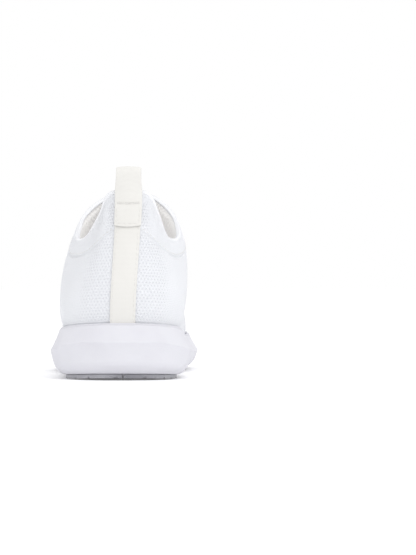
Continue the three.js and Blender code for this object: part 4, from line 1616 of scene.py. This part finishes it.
@dataclass
class HeelRibbon:
    """The heel tape and the pull loop, with their stitches.

    Attributes:
        tape_cut: Length of the tape's ribbon, in millimetres; not used.
        loop_cut: Length of the loop's ribbon; not used.
        stages: Shares of the loop's length where it leaves the heel, starts and ends its arch, and lands.
    """

    last: Last
    wardrobe: Wardrobe
    tape_start: float = 0.0
    tape_cut: float = 82.0
    loop_cut: float = 71.0
    loop_rise: float = 16.6
    stitch: float = 2.3
    stitch_gap: float = 0.8
    thread: float = 0.55
    edge_row: float = 6.3
    tack_groups: tuple = (-4.2, 0, 4.2)
    stages: tuple = (0.34, 0.48, 0.62, 0.76)

    def on_heel(self, across: np.ndarray, v: np.ndarray, out) -> np.ndarray:
        """Points on the heel, so far to the side of its middle line and so far outside the skin."""
        return self.last.layer(self.last.beside_heel(across, v), v, out)

    def section(self, inner: int) -> tuple[np.ndarray, np.ndarray]:
        """Columns across the ribbon, close together at its selvedges.

        Args:
            inner: How many columns lie between the selvedges.

        Returns:
            Distances from the middle line over one face, and over both faces and back to the start.
        """
        half = self.last.sizes.ribbon_width / 2
        flat = np.linspace(-half + 0.8, half - 0.8, inner)
        face = np.concatenate([[-half, -half + 0.25], flat, [half - 0.25, half]])
        return face, np.concatenate([face, face[::-1], face[:1]])

    def build_tape(self) -> bpy.types.Object:
        """The tape that covers the back seam, from the sole to the collar."""
        sizes = self.last.sizes
        half = sizes.ribbon_width / 2
        face, columns = self.section(17)
        outside = np.concatenate([np.full(len(face), 1.0), np.full(len(face), 0.0), [1.0]])
        worn = bell(np.abs(face) - half, 0.35)
        rounding = np.concatenate([worn * 0.35, worn[::-1] * -0.1, [0.35]])
        heights = np.linspace(self.tape_start, 1.0, 110)
        sheet = Sheet(np.arange(len(columns)), len(heights))
        across = columns[sheet.column]
        v = heights[sheet.row]
        thick = sizes.ribbon
        pucker = 0.1 * bell(np.abs(across) - self.edge_row, 0.6)
        out = 0.28 + outside[sheet.column] * (thick - pucker) - rounding[sheet.column]
        points = self.on_heel(across, v, out)
        sheet.lay(self.last.placed(points))
        sheet.map(across * MM, lengths_up(points, sheet) * MM)
        tape = sheet.done("heel_tape_ribbon")
        close_ends(tape)
        self.wardrobe.dress(tape, Finish.RIBBON, "ribbon")
        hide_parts("heel_tape")
        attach(tape, REAR)
        return tape

    def loop_path(self, across: np.ndarray, share: np.ndarray, out: float) -> np.ndarray:
        """Points of the loop's ribbon.

        Args:
            across: Distance from the ribbon's middle line.
            share: Place along the ribbon, from 0 at its outer sewn end to 1 at its inner one.
            out: Distance towards the ribbon's outer face.

        Returns:
            One point a row, in pattern millimetres.
        """
        last = self.last
        sizes = last.sizes
        leaves, arch_start, arch_end, lands = self.stages
        top = last.skin(np.zeros(1), np.ones(1))[0]
        back = top[1] - 2 * (sizes.gap + 1.0) + 0.5
        front = back + 7.4 + 1.0
        radius = (front - back) / 2
        crown = top[2] + self.loop_rise - radius - 0.5
        zero = np.zeros_like(share)
        v_low, v_inner = 0.748 + 0.00015 * across**2, 0.86
        outer = self.on_heel(across, v_low + (1 - v_low) * np.clip(share / leaves, 0, 1), 1.35 + 0.5 + out)
        inner = self.on_heel(across, v_inner + (1 - v_inner) * np.clip((1 - share) / (1 - lands), 0, 1), 0.0)
        depth = front - top[1]
        inner = inner + np.stack([zero, zero + depth + out, zero], axis=1)
        rise_share = np.clip((share - leaves) / (arch_start - leaves), 0, 1)
        fall_share = np.clip((lands - share) / (lands - arch_end), 0, 1)
        angle = np.pi * np.clip((share - arch_start) / (arch_end - arch_start), 0, 1)
        arch = np.stack(
            [
                top[0] + across,
                (back + front) / 2 - (radius + out) * np.cos(angle),
                crown + (radius + out) * np.sin(angle) - 0.012 * across**2 * np.sin(angle),
            ],
            axis=1,
        )
        leg_up = outer + (arch - outer) * smooth(rise_share, 0, 1)[:, None]
        leg_up[:, 2] = outer[:, 2] + (arch[:, 2] - outer[:, 2]) * rise_share
        leg_down = inner + (arch - inner) * smooth(fall_share, 0, 1)[:, None]
        leg_down[:, 2] = inner[:, 2] + (arch[:, 2] - inner[:, 2]) * fall_share
        first = (share <= arch_start)[:, None]
        middle = ((share > arch_start) & (share < arch_end))[:, None]
        return np.where(first, leg_up, np.where(middle, arch, leg_down))

    def build_loop(self) -> bpy.types.Object:
        """The pull loop, from its sewn outer end over the arch to its sewn inner end."""
        sizes = self.last.sizes
        half = sizes.ribbon_width / 2
        face, columns = self.section(15)
        side = np.concatenate([np.full(len(face), 0.5), np.full(len(face), -0.5), [0.5]])
        selvedge = bell(np.abs(face) - half, 0.3)
        pinch = np.concatenate([selvedge, -selvedge[::-1], [1.0]]) * 0.2
        shares = np.linspace(0, 1, 150)
        sheet = Sheet(np.arange(len(columns)), len(shares))
        across = columns[sheet.column]
        out = side[sheet.column] * sizes.ribbon - pinch[sheet.column]
        points = self.loop_path(across, shares[sheet.row], out)
        sheet.lay(self.last.placed(points))
        sheet.map(across * MM, lengths_up(points, sheet) * MM)
        loop = sheet.done("pull_loop_ribbon")
        close_ends(loop)
        self.wardrobe.dress(loop, Finish.RIBBON, "ribbon")
        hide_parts("pull_loop", "pull_loop_outer_end", "pull_loop_inner_end")
        root = self.last.skin(np.zeros(1), np.ones(1))[0]
        start, end = self.last.placed(root + UP * np.array([[-2.5], [6.5]]))
        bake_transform(loop)
        return loop

    def line_of_stitches(self, across: np.ndarray, v: np.ndarray, out: float) -> list[Stitch]:
        """Stitches of equal length along a line on the heel.

        Args:
            across: Distance of each point of the line from the heel's middle.
            v: Place up the wall of each point.
            out: Distance outside the skin.

        Returns:
            The stitches, in frame metres.
        """
        points = self.on_heel(across, v, out)
        outward = self.last.normal(self.last.beside_heel(across, v), v)
        run = np.concatenate([[0], np.cumsum(np.linalg.norm(np.diff(points, axis=0), axis=1))])
        starts = np.arange(0.5, run[-1] - self.stitch, self.stitch + self.stitch_gap)

        def at(distance, table):
            """Rows of a table at distances along the line."""
            return np.stack([np.interp(distance, run, table[:, k]) for k in range(3)], axis=1)

        placed = self.last.placed(points)
        firsts, lasts = at(starts, placed), at(starts + self.stitch, placed)
        outs = at(starts, outward)
        return [Stitch(a, b, o) for a, b, o in zip(firsts, lasts, outs)]

    def bar_tack(self, out: float) -> list[Stitch]:
        """A dense row of short upright stitches in three groups across the loop's root."""
        across = np.concatenate([np.linspace(-1.7, 1.7, 8) + middle for middle in self.tack_groups])
        low, high = np.full_like(across, 0.912), np.full_like(across, 0.932)
        feet, heads = self.on_heel(across, low, out), self.on_heel(across, high, out)
        outward = self.last.normal(self.last.beside_heel(across, low), low)
        ends = zip(self.last.placed(feet), self.last.placed(heads), outward)
        return [Stitch(foot, head, direction) for foot, head, direction in ends]

    def build_stitches(self) -> bpy.types.Object:
        """The rows along the tape's edges, the bar tack and the row at the loop's sewn end."""
        stitches = []
        rise = np.linspace(self.tape_start + 0.01, 0.985, 60)
        on_tape = 0.28 + self.last.sizes.ribbon - 0.05
        for side in (-self.edge_row, self.edge_row):
            stitches += self.line_of_stitches(np.full_like(rise, side), rise, on_tape)
        on_loop = 1.35 + self.last.sizes.ribbon + 0.1
        width = np.linspace(-5.8, 5.8, 30)
        stitches += self.line_of_stitches(width, np.full_like(width, 0.772), on_loop)
        short = np.linspace(0.775, 0.905, 20)
        for side in (-6.2, 6.2):
            stitches += self.line_of_stitches(np.full_like(short, side), short, on_loop)
        stitches += self.bar_tack(on_loop)
        thread = sewn("heel_stitching", stitches, self.thread * MM)
        self.wardrobe.dress(thread, Finish.THREAD, "ribbon")
        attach(thread, REAR)
        return thread

    def build(self) -> list[bpy.types.Object]:
        """All of the ribbon work."""
        return [self.build_tape(), self.build_loop(), self.build_stitches()]


@dataclass
class CollarSeam:
    """The stitched seam under the collar, from the tape round to the front."""

    last: Last
    upper: KnitUpper
    wardrobe: Wardrobe
    stitch: float = 1.9
    stitch_gap: float = 0.9
    thread: float = 0.34

    def seam_line(self, rows: np.ndarray, side: int) -> tuple[np.ndarray, np.ndarray]:
        """Points along the seam and the cloth's outward direction there."""
        u = side * rows / self.last.last_row
        steps = np.linspace(0, 1, 160)
        heights = np.stack([self.last.skin(u, np.full_like(u, step))[:, 2] for step in steps])
        aims = self.upper.seam_height(rows) + 1.1
        v = np.array([np.interp(aim, heights[:, k], steps) for k, aim in enumerate(aims)])
        return self.last.layer(u, v, 0.34), self.last.normal(u, v)

    def build(self) -> bpy.types.Object:
        """The row of stitches on the seam's welt, on both sides."""
        stitches = []
        for side in (-1, 1):
            points, outward = self.seam_line(np.linspace(0.66, 7.9, 400), side)
            placed = self.last.placed(points)
            run = np.concatenate([[0], np.cumsum(np.linalg.norm(np.diff(points, axis=0), axis=1))])
            starts = np.arange(0, run[-1] - self.stitch, self.stitch + self.stitch_gap)
            for start in starts:
                first, second, out = (
                    np.array([np.interp(distance, run, table[:, k]) for k in range(3)])
                    for distance, table in ((start, placed), (start + self.stitch, placed), (start, outward))
                )
                stitches.append(Stitch(first, second, out))
        thread = sewn("collar_seam_stitching", stitches, self.thread * MM)
        self.wardrobe.dress(thread, Finish.THREAD, "knit")
        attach(thread, REAR)
        return thread


class HiddenParts:
    """CAD parts inside the shoe that keep their shape and take a finish."""

    FINISHES = {
        "heel_counter": Finish.STIFFENER,
        "toe_puff": Finish.STIFFENER,
        "collar_foam_medial": Finish.PADDING,
        "collar_foam_lateral": Finish.PADDING,
    }

    def __init__(self, wardrobe: Wardrobe) -> None:
        """Keeps the wardrobe to dress them from."""
        self.wardrobe = wardrobe

    def build(self) -> list[bpy.types.Object]:
        """Dresses each part."""
        return [self.wardrobe.dress(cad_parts[node], finish) for node, finish in self.FINISHES.items()]


@dataclass
class Studio:
    """A white sweep, soft light from the inner side, and the camera."""

    last: Last
    distance: float = 1580.0
    eye_height: float = 61.7
    sideways: float = 51.1
    lens_mm: float = 172.1
    sensor_mm: float = 36.0
    floor_glow: float = 0.1
    lamps: tuple = (
        ("key_right", (0.8, -1.2, 1.4), 0.9, 8.5),
        ("top_soft", (0.0, 0.1, 1.5), 0.7, 1.8),
        ("fill_left", (-1.5, -0.6, 1.0), 1.2, 1.2),
    )

    def floor(self) -> None:
        """A wide pale floor."""
        bm = bmesh.new()
        bmesh.ops.create_grid(bm, x_segments=1, y_segments=1, size=12.0)
        floor = finish_mesh(bm, "studio_floor")
        graph = Graph("studio_white")
        graph.colour((0.93, 0.93, 0.935))
        graph.gloss(0.9, specular=0.0)
        graph.shader.inputs["Emission Color"].default_value = (1.0, 1.0, 1.0, 1.0)
        graph.shader.inputs["Emission Strength"].default_value = self.floor_glow
        floor.data.materials.append(graph.material)

    def lamp(self, name: str, place: Vector, size: float, power: float) -> None:
        """A square soft light that looks at the shoe.

        Args:
            name: The light's name.
            place: Where it stands, in frame metres.
            size: Its side, in metres.
            power: Its power, in watts.
        """
        data = bpy.data.lights.new(name, "AREA")
        data.shape = "SQUARE"
        data.size = size
        data.energy = power
        light = bpy.data.objects.new(name, data)
        light.location = place
        light.rotation_mode = "QUATERNION"
        light.rotation_quaternion = (Vector((0, 0, 0.06)) - place).to_track_quat("-Z", "Y")
        bpy.context.scene.collection.objects.link(light)

    def camera(self) -> None:
        """The camera behind the heel, level with the middle of the shoe."""
        data = bpy.data.cameras.new("camera")
        data.lens = self.lens_mm
        data.sensor_width = self.sensor_mm
        data.clip_start = 0.05
        data.clip_end = 60
        camera = bpy.data.objects.new("camera", data)
        heel = self.last.placed(np.array([[0.0, -self.last.sizes.flare, 0.0]]))[0]
        place = heel + np.array([self.sideways, -self.distance, self.eye_height]) * MM
        camera.location = place
        camera.rotation_euler = (math.pi / 2, 0, 0)
        bpy.context.scene.collection.objects.link(camera)
        bpy.context.scene.camera = camera

    def build(self) -> None:
        """Sets up the floor, the light and the camera."""
        world = bpy.data.worlds.new("studio")
        world.use_nodes = True
        sky = world.node_tree.nodes["Background"]
        sky.inputs["Color"].default_value = (1.0, 1.0, 1.0, 1.0)
        sky.inputs["Strength"].default_value = 1.0
        bpy.context.scene.world = world
        bpy.context.scene.view_settings.view_transform = "Standard"
        self.floor()
        for name, place, size, power in self.lamps:
            self.lamp(name, Vector(place), size, power)
        self.camera()


def main() -> None:
    """Builds the shoe and its studio."""
    logging.basicConfig(level=logging.INFO, format="%(message)s")
    last = Last(Sizes(), Pattern())
    wardrobe = Wardrobe()
    flex = Flex(last)
    upper = KnitUpper(last, flex, wardrobe)
    builders = [
        Midsole(last, flex, wardrobe),
        Outsole(last, flex, wardrobe),
        FootBed(last, flex, wardrobe),
        upper,
        CollarLining(last, flex, wardrobe),
        HeelRibbon(last, wardrobe),
        CollarSeam(last, upper, wardrobe),
        HiddenParts(wardrobe),
    ]
    for builder in builders:
        made = builder.build()
        for piece in made if isinstance(made, list) else [made]:
            log.info("%s: %d faces", piece.name, len(piece.data.polygons))
    Studio(last).build()


if __name__ == "__main__":
    main()
